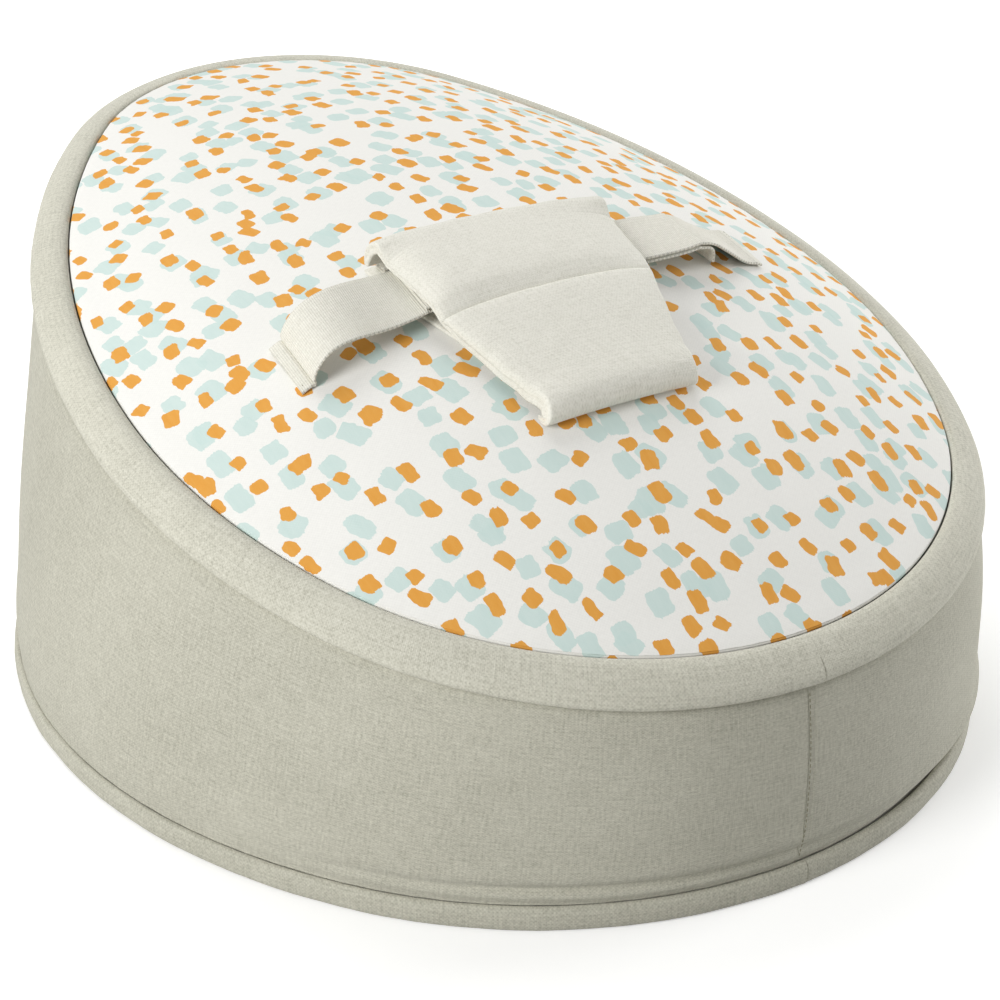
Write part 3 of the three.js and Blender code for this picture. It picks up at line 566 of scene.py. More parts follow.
buckle_acetal = moulded("acetal_lilac_grey", "#cbc7d2", "#b3aebb", 0.38, 0.5)
coil_nylon = moulded("nylon_coil_grey", "#8c887c", "#6e6a60", 0.5, 0.4)
slider_zinc = moulded("painted_zinc_grey", "#a7a7a6", "#8b8b8a", 0.4, 0.3, metallic=0.6)
# The thread is darker than the real thread: painted shade standing in for the needle holes between stitches.
thread_painted_dark = moulded("polyester_thread_painted_dark", "#86836f", "#66634f", 0.8, 0.25, depth_mm=0.08)
bead_foam = raised_cells("expanded_polystyrene_beads", False, "#fbfbfa", "#d9d9d6", 4, 1.5, 0.8, 0.6)
loop_tape = raised_cells("loop_tape_cream", True, "#efece1", "#c9c6b9", 1.1, 0.6, 0.9, 0.9)
hook_tape = raised_cells("hook_tape_cream", True, "#e6e3d8", "#b6b3a6", 1.6, 0.6, 0.9, 0.9)
tape_cloth = canvas("polyester_zip_tape", "#a29e91", "#8a8679", "#6d695d", 1.0, 0.5)
print("materials made:", len(bpy.data.materials))


def dress(piece, material, body, nodes):
    """Gives a piece its material and body, and hides the solids that it stands for."""
    piece.data.materials.clear()
    piece.data.materials.append(material)
    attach(piece, body)
    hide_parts(*nodes)


# %% [markdown]
# ## Ring angles
#
# The wall, the bands and the zip all run round the egg. Even angles would leave the ends coarse and
# would miss the seams, which are under a millimetre deep. So the angles crowd a little at the ends, and
# a cluster of extra ones stands round each vertical seam.

# %% Angles round the bag
RING_COUNT = 360
SEAM_COUNT = 61
SEAM_SPREAD = 0.11
CROWDING = 0.12
# How far the bag's ends are from its middle, in mm, which makes a length of a small angle there.
END_REACH = 300


def ring_angles(seams=()):
    """Angles from the foot end round to it again, finer near the seams."""
    even = np.linspace(-QUARTER, 1.5 * math.pi, RING_COUNT, endpoint=False)
    crowded = even + CROWDING * np.sin(2 * even)
    fine = [seam + SEAM_SPREAD * np.linspace(-1, 1, SEAM_COUNT) ** 3 for seam in seams]
    angles = np.concatenate([crowded, *fine])
    angles = (angles + QUARTER) % (2 * math.pi) - QUARTER
    return np.unique(np.round(angles, 6))


def angle_gap(angle, seam):
    """How far an angle is from a seam's angle, the short way round."""
    return (angle - seam + math.pi) % (2 * math.pi) - math.pi


def outward_from(angle):
    """The level direction out of the bag at each angle."""
    return np.stack([np.cos(angle), np.sin(angle), 0 * angle], -1)


def lapped(angle, seam, step):
    """A lapped seam at one end: the cloth before it lies on the cloth after it, and ends in a small step."""
    across = angle_gap(angle, seam) * END_REACH
    return step * np.where(across < 0, np.exp(np.minimum(across, 0) / 4), 0) - 0.3 * bump(across, 0.4, 0.4)


# %% [markdown]
# ## Wall
#
# The wall is one layer of canvas in two halves, sewn at the middle of the foot and head ends. The beads
# push it out, so it bellies a little over the base band and its cloth folds softly there. A simulation
# could find such folds, but not these ones, so they are drawn: each fold is a low bump with a place, a
# width and a height in millimetres. At each seam one half laps over the other and ends in a small step.

# %% Build the wall
WALL_ROWS = 96
WALL_BULGE = 5
WALL_THICKNESS = 1.6
WALL_FOOT_SEAM = -QUARTER - 0.018
WALL_HEAD_SEAM = QUARTER
# Each fold: how far it stands out, how high it lies and how wide it is, in mm.
OVERHANG = (3.8, 26, 5.0)
BELLY = (1.2, 34, 16)
CREASE = ((-2.6, 23.5, 2.2), (1.5, 18.5, 2.6), (1.4, 30, 5))
TUCK_HEIGHT = BASE_BAND_HEIGHT + 1.5
# Each stretch of the wall: the angle of its middle and how far it reaches to each side, in radians.
RIGHT_STRETCH = (-0.98, 0.42)
FAR_RIGHT_STRETCH = (-0.3, 0.45)
CREASE_STRETCH = (-1.86, 0.34)


def wall_skin(angle, share):
    """The wall's outer face, as the solid has it, for rows of shares and columns of angles."""
    foot = floor_point(0, BASE_BAND_HEIGHT + GAP, angle)[None]
    head = rim_point(0, -GAP, angle)[None]
    outward = outward_from(angle)[None]
    s = share[:, None, None]
    return foot * (1 - s) + head * s + outward * WALL_BULGE * np.sin(math.pi * s), outward


def fold(height, size, middle, width):
    return size * bump(height, middle, width)


def stretch(angle, middle, reach):
    return bump(angle_gap(angle, middle), 0, reach)[None]


def wall_folds(angle, points, share):
    """How far the cloth stands out from the plain wall, in mm."""
    round_length = ring_lengths(points[WALL_ROWS // 2])[:-1][None]
    height = points[..., 2]
    up = share[:, None]
    right = stretch(angle, *RIGHT_STRETCH)
    far_right = stretch(angle, *FAR_RIGHT_STRETCH)
    out = (fold(height, *OVERHANG) * right + fold(height, *BELLY)) * (1 - far_right)
    out = out + sum(fold(height, *part) for part in CREASE) * stretch(angle, *CREASE_STRETCH) ** 0.7
    out = out - fold(height, 0.7 + 4.2 * right + 2.4 * far_right, TUCK_HEIGHT, 3.4)
    free = np.sin(math.pi * up) ** 0.5
    out = out + free * (0.9 * ripple(round_length, 240, 1.7) + 0.35 * ripple(round_length, 90, 4.0))
    out = out + 0.16 * bump(up, 1, 0.16) * ripple(round_length, 21, 0.4)
    out = out + 0.14 * bump(height, BASE_BAND_HEIGHT, 9) * ripple(round_length, 17, 2.2)
    out = out - 2.0 * bump(up, 1, 0.035)
    for seam in (WALL_FOOT_SEAM, WALL_HEAD_SEAM):
        beside = bump(angle_gap(angle, seam) * END_REACH, 0, 6)[None]
        out = out + lapped(angle, seam, 0.55)[None] + 0.12 * beside * ripple(height, 9, seam)
    return out


def build_wall():
    angle = ring_angles((WALL_FOOT_SEAM, WALL_HEAD_SEAM))
    share = 0.5 - 0.5 * np.cos(np.linspace(0, math.pi, WALL_ROWS))
    points, outward = wall_skin(angle, share)
    points = points + outward * wall_folds(angle, points, share)[..., None]
    lengths = ring_lengths(points[WALL_ROWS // 2])
    cloth = np.stack(np.meshgrid(lengths, travelled(points).mean(1)), -1)
    piece = cloth_mesh("wall_cloth", points, cloth)
    shell = piece.modifiers.new("cloth thickness", "SOLIDIFY")
    shell.thickness = WALL_THICKNESS * MM
    shell.offset = 1.0
    return piece, lengths[-1]


wall, wall_round = build_wall()
dress(wall, wall_canvas, "bag", ("wall_left", "wall_right"))

# %% [markdown]
# ## Stitches
#
# A lockstitch shows as short dashes of thread with a needle hole between them. A dark line in the
# material would lie flat, so each stitch is a small capsule of thread, laid along a path at a pitch.

# %% Lay stitches along a path
STITCH_PROFILE = ((-0.5, 0.25), (-0.4, 0.85), (0.0, 1.0), (0.4, 0.85), (0.5, 0.25))
STITCH_SIDES = 6
SEAM_STITCH = {"length": 2.0, "pitch": 3.0, "radius": 0.27}
STRAP_STITCH = {"length": 1.7, "pitch": 2.4, "radius": 0.3}


def sample(values, lengths, stops):
    """Points or directions along a line, read at other distances along it."""
    return np.stack([np.interp(stops, lengths, values[:, i]) for i in range(3)], -1)


def stitches(name, path, normals, body, length, pitch, radius):
    """A row of thread stitches. path and normals are points and outward directions, in mm."""
    lengths = travelled(path)
    stops = np.arange(pitch, lengths[-1] - pitch / 2, pitch)
    way = unit(sample(path, lengths, stops + 0.5) - sample(path, lengths, stops - 0.5))
    up = unit(sample(normals, lengths, stops))
    side = np.cross(way, up)
    turn = np.linspace(0, 2 * math.pi, STITCH_SIDES, endpoint=False)[:, None]
    corners, _ = grid_faces(len(STITCH_PROFILE), STITCH_SIDES)
    first_cap = np.arange(STITCH_SIDES)
    last_cap = first_cap[::-1] + STITCH_SIDES * (len(STITCH_PROFILE) - 1)
    points, faces = [], []
    for c, w, u, v in zip(sample(path, lengths, stops), way, up, side):
        for part in (corners, first_cap[None], last_cap[None]):
            faces += (part + len(points)).tolist()
        for along, thick in STITCH_PROFILE:
            points += list(c + w * along * length + radius * thick * (u * np.cos(turn) + v * np.sin(turn)))
    piece = add_mesh(name, np.array(points), faces)
    # The thread material is darker than the real thread: painted shade for the needle holes.
    piece.data.materials.append(thread_painted_dark)
    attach(piece, body)


for seam, name in ((WALL_FOOT_SEAM, "foot_seam_stitches"), (WALL_HEAD_SEAM, "head_seam_stitches")):
    face, outward = wall_skin(np.array([seam]), np.linspace(0.04, 0.985, 90))
    path, outward = face[:, 0], outward[0]
    lift = WALL_THICKNESS + 0.35 + fold(path[:, 2:], *BELLY)
    stitches(name, path + outward * lift, np.repeat(outward, len(path), 0), "bag", **SEAM_STITCH)

# %% [markdown]
# ## Bands
#
# Two bands finish the wall. The base band is a folded strip that stands on the floor like a flat
# piping. The rim band is turned over the top edge and carries one side of the zip. Both are a section
# swept round the egg: a few corners of the section are enough, and a smooth line through them gives the
# soft roll of folded canvas. Each band is sewn together at two laps, near the wall's seams or on them.

# %% Build the two bands
SECTION_STEPS = 40
# Corners of each section: how far inside the outline and how far over its plane, in mm.
BASE_SECTION = [
    (3.0, 0.3), (0.2, 0.25), (-1.9, 0.9), (-2.8, 3.4), (-2.9, 7.0), (-2.6, 10.0), (-1.6, 12.2), (0.0, 12.9),
    (1.6, 12.2), (3.0, 9.0),
]
RIM_SECTION = [
    (2.2, 0.2), (0.8, -1.1), (-1.4, -1.5), (-2.9, -1.1), (-3.6, 0.4), (-3.2, 3.2), (-1.0, 6.4), (2.2, 9.0),
    (6.0, 11.6), (10.0, 13.4), (13.4, 13.8), (15.6, 13.0), (16.5, 11.6), (15.2, 10.4), (10.4, 10.6),
    (6.2, 8.6), (3.2, 6.0), (2.0, 3.0),
]
RIM_JOINS = (-QUARTER + 0.008, QUARTER + 0.045)
BASE_JOINS = (-QUARTER + 0.002, QUARTER)


def sweep_band(name, section, joins, place, puckers):
    """A closed band: a smooth section of [inset, height] corners taken round the ring."""
    angle = ring_angles(joins)
    corners = smooth_line(section, SECTION_STEPS, closed=True)
    outer = np.stack([place(inset, height, angle) for inset, height in corners], 0)
    lengths, girth = ring_lengths(outer[0]), ring_lengths(corners)
    steps = sum(lapped(angle, join, 0.45) for join in joins)
    out = puckers(corners, lengths[:-1], steps)
    cloth = np.stack(np.meshgrid(lengths, girth), -1)
    points = outer + outward_from(angle)[None] * out[..., None]
    return cloth_mesh(name, points, cloth, wrap_rows=True), lengths[-1], girth[-1]


def base_puckers(corners, lengths, steps):
    outside = (corners[:, 0] < 1)[:, None]
    waves = 0.22 * ripple(lengths, 64, 0.9) + 0.1 * ripple(lengths, 19, 3.0)
    return outside * (waves + steps)[None]


def rim_puckers(corners, lengths, steps):
    outside = (corners[:, 0] < 3)[:, None]
    low = bump(corners[:, 1], 0, 4)[:, None]
    waves = 0.35 * ripple(lengths, 150, 2.0)[None] + low * 0.16 * ripple(lengths, 16, 1.1)[None]
    return outside * (waves + steps[None])


base_band, base_round, base_girth = sweep_band(
    "base_band_cloth", BASE_SECTION, BASE_JOINS, floor_point, base_puckers)
dress(base_band, wall_canvas, "bag", ("base_band",))
rim_band, rim_round, rim_girth = sweep_band("rim_band_cloth", RIM_SECTION, RIM_JOINS, rim_point, rim_puckers)
dress(rim_band, rim_canvas_painted_lighter, "bag", ("rim_band",))
print("rim band is", round(rim_round), "mm round with a girth of", round(rim_girth, 1), "mm")

# %% [markdown]
# ## Printed seat panel
#
# The panel is cut as a flat egg and eased over the crown, so it is taut in the middle and slightly
# gathered at its edge, where it turns down into the zip. It is built as rings that shrink towards the
# middle, over the top and back under, which gives it a real thickness. The print is laid out by the
# distance over the crown, so the dabs keep their shape on the slope.

# %% Build the seat panel
CROWN_RINGS = 90
PANEL_THICKNESS = 3.2
EDGE_INSET = 0.75
EDGE_LIFT = 0.2
EDGE_TURN = ((0.0, 0.0), (-0.9, -0.5), (-1.1, -1.6), (-0.4, -2.6), (1.2, -3.1))
UNDER_SHARE = 0.97


def panel_lumps(x, y, share, round_length):
    """Where the panel stands off its smooth crown: beads below it, gathers at its edge."""
    beads = 0.35 * (ripple(x, 71, 1.2) * ripple(y, 83, 0.3) + 0.5 * ripple(x + 0.6 * y, 49, 2.0))
    gathers = bump(share, 0.985, 0.03) * (0.4 + 0.22 * ripple(round_length, 13, 0.8))
    return beads * (1 - bump(share, 1, 0.06)) + gathers


def build_panel():
    angle = ring_angles()
    share = np.sin(QUARTER * np.linspace(0.004, 1, CROWN_RINGS))[:, None]
    reach = share * outline_reach(SEAT_OUTLINE, COVER_INSET, angle)
    x = reach * np.cos(angle)
    y = SEAT_OUTLINE["widest_y"] + reach * np.sin(angle)
    round_length = ring_lengths(rim_point(COVER_INSET, 0, angle))[:-1][None]
    top = np.stack([x, y, crown_height(share) + panel_lumps(x, y, share, round_length)], -1)
    turned_edge = np.array([
        outline_point(SEAT_OUTLINE, COVER_INSET + EDGE_INSET + outward, RIM_HEIGHT + EDGE_LIFT + up, angle)
        for outward, up in EDGE_TURN])
    under = top[::-1] - np.array([0, 0, PANEL_THICKNESS])
    points = np.concatenate([top[:-1], turned_edge, under[share[::-1, 0] < UNDER_SHARE]])
    over = travelled(points)
    over = np.concatenate([over, over[:, :1]], 1)
    closed = np.append(angle, angle[0] + 2 * math.pi)
    cloth = np.stack([over * np.cos(closed), over * np.sin(closed)], -1)
    return cloth_mesh("seat_panel", rim_to_world(points), cloth)


panel = build_panel()
dress(panel, print_cloth, "cover", ("seat_cover",))
print("seat panel has", len(panel.data.polygons), "faces")

# %% [markdown]
# ## Webbing straps
#
# Each strap is one length of webbing: sewn to the seat at its foot, arched up over the child's hip and
# led under the pad to the buckle. A curve with a bevel would twist at the turns. Here the route is a
# short list of points seen along the strap's edge, and a thin rounded section follows it, so the webbing
# stays flat across as real webbing does. On the way it drifts sideways to its foot and tips a little.

# %% Shape the webbing
STRAP_THICKNESS = 1.8
HALF_STRAP = STRAP_THICKNESS / 2
STRAP_HEIGHT = 8.1
ARCH_START = 78
SETTLE_REACH = 9
# Each foot: how far out it is sewn, how far the webbing drifts and tips on the way, and its sewn tab.
LEFT_FOOT = {"x": 141.5, "skew": -6, "tip": -2.6, "tab": 6.5}
RIGHT_FOOT = {"x": 135, "skew": 10, "tip": 2.8, "tab": 7}
LEFT_SHARES = [(0, 0.965), (0.1, 0.92), (0.26, 0.885), (0.45, 0.88), (0.63, 0.87), (0.78, 0.8), (0.9, 0.64),
               (0.975, 0.4), (1.0, 0.18), (0.985, 0.04)]
RIGHT_SHARES = [(0, 1), (0.17, 0.96), (0.34, 0.82), (0.52, 0.58), (0.7, 0.34), (0.87, 0.13), (1, 0.03)]


def skew_at(foot, x):
    """How far the webbing has drifted sideways."""
    return foot["skew"] * (np.maximum(np.abs(x) - ARCH_START, 0) / (foot["x"] - ARCH_START)) ** 1.15


def highest_under(foot, x):
    """The highest place of the seat under the webbing's two edges and its middle."""
    return np.max([seat_under(x, skew_at(foot, x) + HALF_WEBBING * side) for side in (-1, 0, 1)], axis=0)


def rest_height(foot, x):
    return float(highest_under(foot, x)) + GAP + HALF_STRAP


def arch_route(foot, side, start, shares):
    low = rest_height(foot, side * foot["x"])
    span, rise = foot["x"] - ARCH_START, start - low
    route = [(ARCH_START + along * span, low + up * rise) for along, up in shares]
    tab_end = foot["x"] + foot["tab"]
    route.append((foot["x"] + STRAP_THICKNESS, low + STRAP_THICKNESS / 4))
    return route + [(tab_end, rest_height(foot, side * tab_end))]


def strap_section():
    """A flat section with rounded, slightly thin edges, as (across, up) points."""
    edge = [(0, 0), (0.3, 0.6), (1.0, 0.92)]
    corners = [(inset - HALF_WEBBING, up * HALF_STRAP) for inset, up in edge]
    corners += [(a, HALF_STRAP) for a in np.linspace(2.4 - HALF_WEBBING, HALF_WEBBING - 2.4, 9)]
    corners += [(HALF_WEBBING - inset, up * HALF_STRAP) for inset, up in edge[::-1]]
    return np.array(corners + [(a, -b) for a, b in corners[-2:0:-1]])


def settle(foot, x, y):
    """Tips the arch about its length, and lays the webbing on the seat near its sewn foot."""
    near = np.clip((np.abs(x) - (foot["x"] - SETTLE_REACH)) / SETTLE_REACH, 0, 1)
    free = bump(np.abs(x), foot["x"] - 34, 26)
    lower = seat_under(x, y + skew_at(foot, x)) - highest_under(foot, x)
    return near * lower - foot["tip"] * free * y / HALF_WEBBING


def build_ribbon(name, route, foot, steps):
    line = smooth_line(route, steps)
    along = unit(np.gradient(line, axis=0))
    section = strap_section()
    x = line[:, :1] - along[:, 1:] * section[None, :, 1]
    y = np.broadcast_to(section[None, :, 0], x.shape)
    z = line[:, 1:] + along[:, :1] * section[None, :, 1] + settle(foot, x, y)
    points = harness_to_world(np.stack([x, y + skew_at(foot, x), z], -1))
    lengths = travelled(line)
    across = np.append(section[:, 0], section[0, 0])
    cloth = np.stack(np.broadcast_arrays(lengths[:, None], across[None]), -1)
    return cloth_mesh(name, points, cloth, capped=True), lengths[-1]


# %% Route the straps and build them
# The buckle's own sizes, along the belt: its housing, the slot and bar behind that, and the sleeve that
# the right strap enters.
MOUTH_X, MOUTH_GAP = -29, 2
HOUSING_LENGTH, SLOT_LENGTH, BAR_LENGTH, BAR_HALF = 30, 7, 4, 1.0
SLEEVE_LENGTH, STRAP_ENTRY = 34, 4
BAR_INNER = MOUTH_X - HOUSING_LENGTH - SLOT_LENGTH
BAR_OUTER = BAR_INNER - BAR_LENGTH
BUCKLE_MIDDLE = STRAP_HEIGHT - (STRAP_THICKNESS + GAP) / 2
LOOP_RISE = BAR_HALF + GAP + HALF_STRAP
BUCKLE_LAP = 10
STRAP_START = MOUTH_X + MOUTH_GAP + SLEEVE_LENGTH - STRAP_ENTRY
TAIL_HEIGHT = STRAP_HEIGHT - STRAP_THICKNESS - GAP
TAIL_REACH = 99
TAIL_FALL = 7.5
TAIL_SHARES = [(0, 0), (0.4, 0), (0.8, 0), (0.95, 0.33), (1, 1)]


def height_on(route, x):
    """Height of a route at a place, where x grows from point to point."""
    return float(np.interp(x, [place for place, _ in route], [height for _, height in route]))


def left_route():
    beside = BAR_OUTER - GAP - HALF_STRAP
    start = BUCKLE_MIDDLE - LOOP_RISE
    arch = [(-beside, start)] + arch_route(LEFT_FOOT, -1, start, LEFT_SHARES)
    over = height_on(arch, BUCKLE_LAP - BAR_OUTER) + STRAP_THICKNESS + 2 * GAP
    loop = [(BAR_INNER + LOOP_RISE * math.cos(a), BUCKLE_MIDDLE + LOOP_RISE * math.sin(a))
            for a in np.linspace(QUARTER, -QUARTER, 7)]
    return [(BAR_OUTER - BUCKLE_LAP, over), (beside, BUCKLE_MIDDLE + LOOP_RISE), *loop,
            *[(-x, z) for x, z in arch]]


def right_route():
    return [(STRAP_START, STRAP_HEIGHT), *arch_route(RIGHT_FOOT, 1, STRAP_HEIGHT, RIGHT_SHARES)]


def tail_route():
    under = STRAP_THICKNESS + 2 * GAP
    route = [(STRAP_START, TAIL_HEIGHT)]
    for along, drop in TAIL_SHARES:
        x = ARCH_START + along * (TAIL_REACH - ARCH_START)
        route.append((x, height_on(right_route(), x) - under - drop * TAIL_FALL))
    return route


for node, route, foot, steps in (
        ("strap_left", left_route(), LEFT_FOOT, 220), ("strap_right", right_route(), RIGHT_FOOT, 180),
        ("strap_tail", tail_route(), RIGHT_FOOT, 90)):
    strap, strap_length = build_ribbon(node + "_webbing", route, foot, steps)
    dress(strap, webbing, "cover", (node,))
    print(node, "is", round(strap_length), "mm long")

# %% Sew each strap's foot with two rows of stitches
ROW_INSETS = (1.8, 4.2)
ROW_HALF = HALF_WEBBING - 1.5

for name, foot, side in (("left_foot_stitches_", LEFT_FOOT, -1), ("right_foot_stitches_", RIGHT_FOOT, 1)):
    for row, inset in enumerate(ROW_INSETS, 1):
        x = foot["x"] + foot["tab"] - inset
        y = np.linspace(-ROW_HALF, ROW_HALF, 30) + skew_at(foot, x)
        height = seat_under(side * x, y) + GAP + STRAP_THICKNESS + 0.1
        path = np.stack([0 * y + side * x, y, height], -1)
        up = harness_to_world(path + np.array([0, 0, 1.0])) - harness_to_world(path)
        stitches(name + str(row), harness_to_world(path), up, "cover", **STRAP_STITCH)

# %% [markdown]
# ## Padded crotch panel
#
# The pad is one piece: two layers of canvas with wadding between them, sewn round the edge and once
# across, so it folds there, and rolled under at its foot. Two separate cushions would leave a gap at the
# crease and would part when the pad opens. So one grid of middle points runs from the rolled foot, over
# the crease and over the belt to the turned-down lip. Each row says how high it lies and how thick it
# is, full in the middle and thin at the sewn edges, where two lips with a groove between them show.

# %% Describe the pad
PAD_SHIFT = -17.5
PAD_HEAD = 32
PAD_CREASE = -31.5
PAD_FOOT = -98
PAD_NOSE_END = -84
PAD_ROLL_FOLD = -97
HALF_WIDTHS = {PAD_FOOT: 42, PAD_CREASE: 60, PAD_HEAD: 67.5}
# The share of the seat's curve that the pad still follows where it stands free over the belt.
FREE_RIDE = 0.32
RIGHT_SAG = 6.9
LEFT_SAG = 6.2
PAD_LIP = 1.3
LIP_STEPS = [(0.1, 1.0), (0.7, 0.92), (1.05, 0.66), (1.0, 0.38), (0.35, 0.1), (0.35, -0.1), (1.0, -0.38),
             (1.05, -0.66), (0.7, -0.92), (0.1, -1.0)]
# Each row: place up the seat, height at the edge, extra height in the middle, share of the seat's own
# curve that it follows, thickness at the edge and in the middle.
PAD_ROWS = np.array([
    (-97.0, 1.6, 0.0, 1, 1.8, 2.4), (-100.8, 2.9, 0.1, 1, 4.4, 5.6), (-102.6, 6.4, 0.5, 1, 7.4, 9.2),
    (-99.4, 9.2, 1.0, 1, 8.4, 11.0), (-93.5, 9.5, 1.6, 1, 8.0, 10.8), (-85.0, 8.9, 2.2, 1, 7.0, 10.0),
    (-71.4, 8.8, 2.8, 1, 6.4, 9.2), (-55.0, 9.8, 3.2, 1, 6.0, 8.8), (-42.0, 11.4, 3.0, 1, 5.2, 8.4),
    (-35.4, 13.0, 2.0, 1, 4.4, 7.6), (-33.2, 13.2, 1.3, 1, 3.6, 6.6), (-32.1, 13.3, 0.7, 1, 3.0, 5.0),
    (-31.5, 13.3, 0, 0.98, 2.2, 2.4), (-30.9, 13.7, 0.4, 0.95, 3.0, 5.2), (-29.2, 14.8, 0.5, 0.86, 3.4, 6.6),
    (-25.0, 16.8, 0.3, 0.66, 3.4, 7.0), (-21.0, 18.4, 0, 0.46, 3.4, 7.2), (-14.0, 19.1, 0, 0.37, 3.2, 7.5),
    (-6.0, 19.3, 0.0, 0.32, 3.2, 7.6), (7.0, 19.3, 0.0, 0.32, 3.2, 7.6), (18.0, 19.2, 0.0, 0.34, 3.6, 7.4),
    (26.4, 18.6, 0.0, 0.38, 6.2, 7.0), (31.0, 16.0, 0.0, 0.55, 6.6, 6.6), (33.0, 12.0, 0.0, 0.85, 6.0, 5.8),
    (32.4, 9.0, 0.0, 1, 3.4, 3.4),
])
ACROSS = np.sin(QUARTER * np.linspace(-1, 1, 81))
FULLNESS = np.sqrt(np.clip(1 - ACROSS**4, 0, 1))


def pad_half_width(y):
    return np.interp(y, list(HALF_WIDTHS), list(HALF_WIDTHS.values()))


def cushion(name, middles, normals, thick, lip, start=0.0):
    """A closed cushion. middles and normals are [along, across], lip is how far the sewn edge stands
    out, and start is how much of the cloth came before the first row."""
    depth = normals * thick[..., None] / 2
    sides = []
    for edge, inner, steps in ((-1, -2, LIP_STEPS), (0, 1, LIP_STEPS[::-1])):
        out = unit(middles[:, edge] - middles[:, inner]) * lip
        sides.append(np.stack([middles[:, edge] + out * a + depth[:, edge] * b for a, b in steps], 1))
    loop = np.concatenate([middles + depth, sides[0], (middles - depth)[:, ::-1], sides[1]], 1)
    girth = travelled(np.concatenate([loop, loop[:, :1]], 1).swapaxes(0, 1)).T
    down = start + travelled(middles).mean(1)[:, None]
    cloth = np.stack([girth, np.broadcast_to(down, girth.shape)], -1)
    return cloth_mesh(name, harness_to_world(loop), cloth, capped=True)


# %% Build the pad


def pad_shape():
    """Middle points, normals and thicknesses of the whole pad, and the place of each row."""
    rows = smooth_line(PAD_ROWS, 300)
    y, height, swell, ride, edge, full = rows.T[..., None]
    x = PAD_SHIFT + ACROSS * pad_half_width(y)
    yy = np.broadcast_to(y, x.shape)
    free = (1 - ride) / (1 - FREE_RIDE)
    head_roll = np.clip((y - 16) / 9, 0, 1)
    sag = np.where(ACROSS > 0, RIGHT_SAG * np.abs(ACROSS) ** 3, LEFT_SAG * ACROSS**8)
    z = height + swell * FULLNESS + ride * seat_under(x, yy) - free * sag * (1 - 0.7 * head_roll)
    edge_wave = ACROSS**8 * bump(y, -80, 30)
    x = x + 0.9 * edge_wave * ripple(y, 31, 1.0)
    z = z + 0.7 * edge_wave * ripple(y, 24, 2.0)
    middles = np.stack([x, yy, z], -1)
    step = np.gradient(middles, axis=0)
    normals = unit(np.stack([0 * x, -step[..., 2], step[..., 1]], -1))
    soft = np.clip((full - 2.8) / 4, 0, 1) * FULLNESS
    crumple = 0.8 * ripple(x - 0.5 * yy, 29, 0.2) * ripple(yy, 31, 1.4) * soft
    return middles, normals, edge + (full - edge) * FULLNESS + crumple, rows[:, 0]


def build_pad():
    """The rolled foot, and the rest of the pad. They meet on the lower half, where both ride alike."""
    *shape, y = pad_shape()
    split = int(np.argmax((y > PAD_NOSE_END) & (np.arange(len(y)) > 20)))
    roll = cushion("crotch_pad_roll", *[part[:split + 1] for part in shape], PAD_LIP)
    used = travelled(shape[0][:split + 1])[-1].mean()
    return roll, cushion("crotch_pad", *[part[split:] for part in shape], PAD_LIP, used)


def bend_across(piece, y, z, reach):
    """Bakes a piece's place into its mesh. It works out the ends of a fold across the pad but makes no use of
    them.
    """
    ends = [tuple(MM * harness_to_world((PAD_SHIFT, y + side * reach, z))) for side in (-1, 1)]
    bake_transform(piece)


pad_roll, pad = build_pad()
for piece in (pad_roll, pad):
    piece.data.materials.append(pad_canvas)
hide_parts("pad_lower", "pad_upper")
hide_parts("pad_lower")
bend_across(pad_roll, PAD_ROLL_FOLD, 0, 7)
bend_across(pad, PAD_CREASE, 14.2, 5)
print("pad is", HALF_WIDTHS[PAD_HEAD] * 2, "mm wide at its head side")

# %% Build the layer under the belt and the touch-and-close strips
BASE_LAYER = 2.6
TOUCH_THICKNESS = 1.1
TOUCH_ENDS = (PAD_HEAD + 4.5, PAD_HEAD - 4.5)
LAYER_LIP = 0.5


def build_layer(name, low, thickness, ends, trim, rounding):
    """A thin cushion that lies on the seat between two places up the seat. It is narrower where it
    would show past the pad's lower half."""
    along = np.linspace(0, 1, 70)[:, None]
    y = ends[0] + along * (ends[1] - ends[0])
    shown = np.clip((y - PAD_CREASE) / 30, 0, 1)
    x = PAD_SHIFT + ACROSS * (pad_half_width(y) - trim - 5 * (1 - shown))
    yy = np.broadcast_to(y, x.shape)
    near_end = np.clip(np.minimum(along, 1 - along) * abs(ends[1] - ends[0]) / rounding, 0, 1)
    thick = thickness * (0.55 + 0.45 * np.sqrt(near_end)) * (0.7 + 0.3 * FULLNESS)
    middles = np.stack([x, yy, seat_under(x, yy) + low + thickness / 2], -1)
    return cushion(name, middles, np.broadcast_to([0.0, 0.0, 1.0], middles.shape), thick, LAYER_LIP)


crotch_base = build_layer("crotch_base_layer", GAP, BASE_LAYER, (PAD_HEAD + 6, PAD_FOOT + 4.5), 2.0, 3.0)
dress(crotch_base, pad_canvas, "cover", ("crotch_base",))
for level, name, tape, body, node in (
        (0, "loop_strip", loop_tape, "cover", "loop_patch"),
        (1, "hook_strip", hook_tape, "upper_pad", "hook_patch")):
    low = GAP + BASE_LAYER + GAP + level * (GAP + TOUCH_THICKNESS)
    strip = build_layer(name, low, TOUCH_THICKNESS, TOUCH_ENDS, 7, 0.5)
    dress(strip, tape, body, (node,))

# %% [markdown]
# ## Buckle and zip slider
#
# These are moulded and die-cast, so every edge has a small radius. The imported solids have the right
# shape but sharp edges. Each is copied and bevelled by a modifier, which is how a mould's radius reads,
# and the copy stands for the solid.

# %% Round the hard parts
EDGE_RADIUS = 0.45 * MM
WELD_REACH = 0.01 * MM


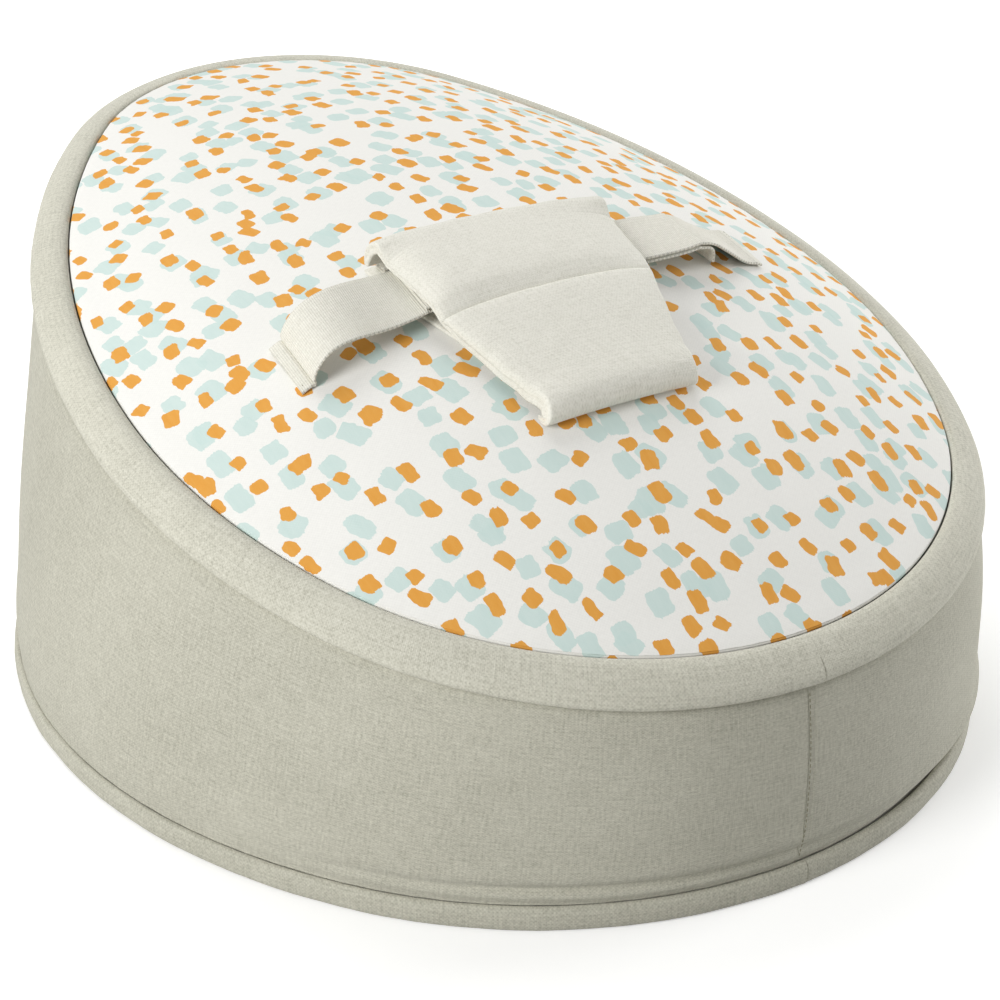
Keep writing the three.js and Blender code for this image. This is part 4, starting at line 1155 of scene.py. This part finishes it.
def round_edges(node, name):
    piece = add_object(name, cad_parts[node].data.copy())
    weld = piece.modifiers.new("weld", "WELD")
    weld.merge_threshold = WELD_REACH
    bevel = piece.modifiers.new("mould radius", "BEVEL")
    bevel.width = EDGE_RADIUS
    bevel.segments = 3
    bevel.limit_method = "ANGLE"
    bevel.angle_limit = math.radians(30)
    bevel.use_clamp_overlap = True
    piece.data.polygons.foreach_set("use_smooth", [True] * len(piece.data.polygons))
    return piece


for node, name, body in (
        ("buckle_female", "buckle_housing", "cover"), ("buckle_male", "buckle_insert", "buckle"),
        ("prong_rear", "buckle_prong_rear", "rear_prong"),
        ("prong_front", "buckle_prong_front", "front_prong")):
    dress(round_edges(node, name), buckle_acetal, body, (node,))
dress(round_edges("zip_slider", "slider"), slider_zinc, "slider", ("zip_slider",))

# %% [markdown]
# ## What the bag holds
#
# Under the zip are its tapes and coils, the inner bag and the beads. They show only when the cover is
# off, so their solids keep their shape and only get real surfaces.

# %% Finish the inner pieces
for material, nodes in (
        (tape_cloth, ("zip_tape_outer", "zip_tape_inner", "liner_zip")),
        (coil_nylon, ("zip_teeth_outer", "zip_teeth_inner")),
        (lining_cloth, ("liner_tub", "liner_top")), (bead_foam, ("bead_fill",)),
        (wall_canvas, ("base_panel",))):
    for node in nodes:
        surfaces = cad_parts[node].data.materials
        surfaces.clear()
        surfaces.append(material)

# %% [markdown]
# ## Studio
#
# A product shot like this is lit by large soft boxes over a white sweep. The main one stands on the
# left, a wide one hangs over the head end, and a third stands low on the right. The floor and the sky
# are white to the camera by Light Path, and the floor still takes the shadow. The floor's own glow
# grows away from the bag, so that it meets the white sky without a line.

# %% Light the studio
FLOOR_HALF = 6.0
LAMP_TARGET = Vector((0, 0, 0.1))
SKY_STRENGTH = 0.31
GLOW_FROM, GLOW_TO = 0.8, 2.2
GLOW_NEAR, GLOW_FAR = 0.36, 1.0
WHITE = linear("#ffffff")

for name, size, power, place in (
        ("main_softbox", 1.3, 49, (-2.4, -0.6, 1.25)), ("top_softbox", 2.2, 32, (0.2, 1.4, 2.4)),
        ("side_softbox", 1.2, 42, (2.6, -0.5, 0.6))):
    light = bpy.data.lights.new(name, "AREA")
    light.shape = "DISK"
    light.size = size
    light.energy = power
    aim(add_object(name, light), place, LAMP_TARGET - Vector(place))


def shown_or_lighting(add, lighting, shown):
    """One shader for rays from the camera and for what shines in metal and glass, one for the rest."""
    rays = add("LightPath").node.outputs
    direct = add("Math MAXIMUM", rays["Is Camera Ray"], rays["Is Glossy Ray"])
    direct = add("Math MAXIMUM", direct, rays["Is Transmission Ray"])
    return add("MixShader", direct, lighting, shown)


def light_the_sky():
    world = bpy.data.worlds.new("studio")
    world.use_nodes = True
    bpy.context.scene.world = world
    world.node_tree.nodes.clear()
    add = adds_to(world.node_tree)
    soft = add("Background", WHITE, SKY_STRENGTH)
    add("OutputWorld", shown_or_lighting(add, soft, add("Background", WHITE, 1.0)))


def lay_the_floor():
    corners = [(x * FLOOR_HALF, y * FLOOR_HALF, 0) for x, y in ((-1, -1), (1, -1), (1, 1), (-1, 1))]
    mesh = bpy.data.meshes.new("floor")
    mesh.from_pydata(corners, [], [(0, 1, 2, 3)])
    material, add = new_material("white_sweep")
    tree = material.node_tree
    shader = tree.nodes["Principled BSDF"]
    shader.inputs["Roughness"].default_value = 0.9
    place = add("TexCoord", out="Object")
    paper = add("TexNoise", place, 2.0)
    colour = add("Mix", paper, linear("#efefee"), linear("#ececeb"), data_type="RGBA")
    tree.links.new(colour, shader.inputs["Base Color"])
    away = add("VectorMath LENGTH", place)
    fade = add("MapRange", away, GLOW_FROM, GLOW_TO, GLOW_NEAR, GLOW_FAR)
    seen = add("AddShader", shader.outputs[0], add("Emission", WHITE, fade))
    bounce = add("BsdfDiffuse", linear("#cfcfcd"))
    tree.links.new(shown_or_lighting(add, bounce, seen), tree.nodes["Material Output"].inputs[0])
    mesh.materials.append(material)
    add_object("floor", mesh)


light_the_sky()
lay_the_floor()
bpy.context.scene.view_settings.view_transform = "Standard"
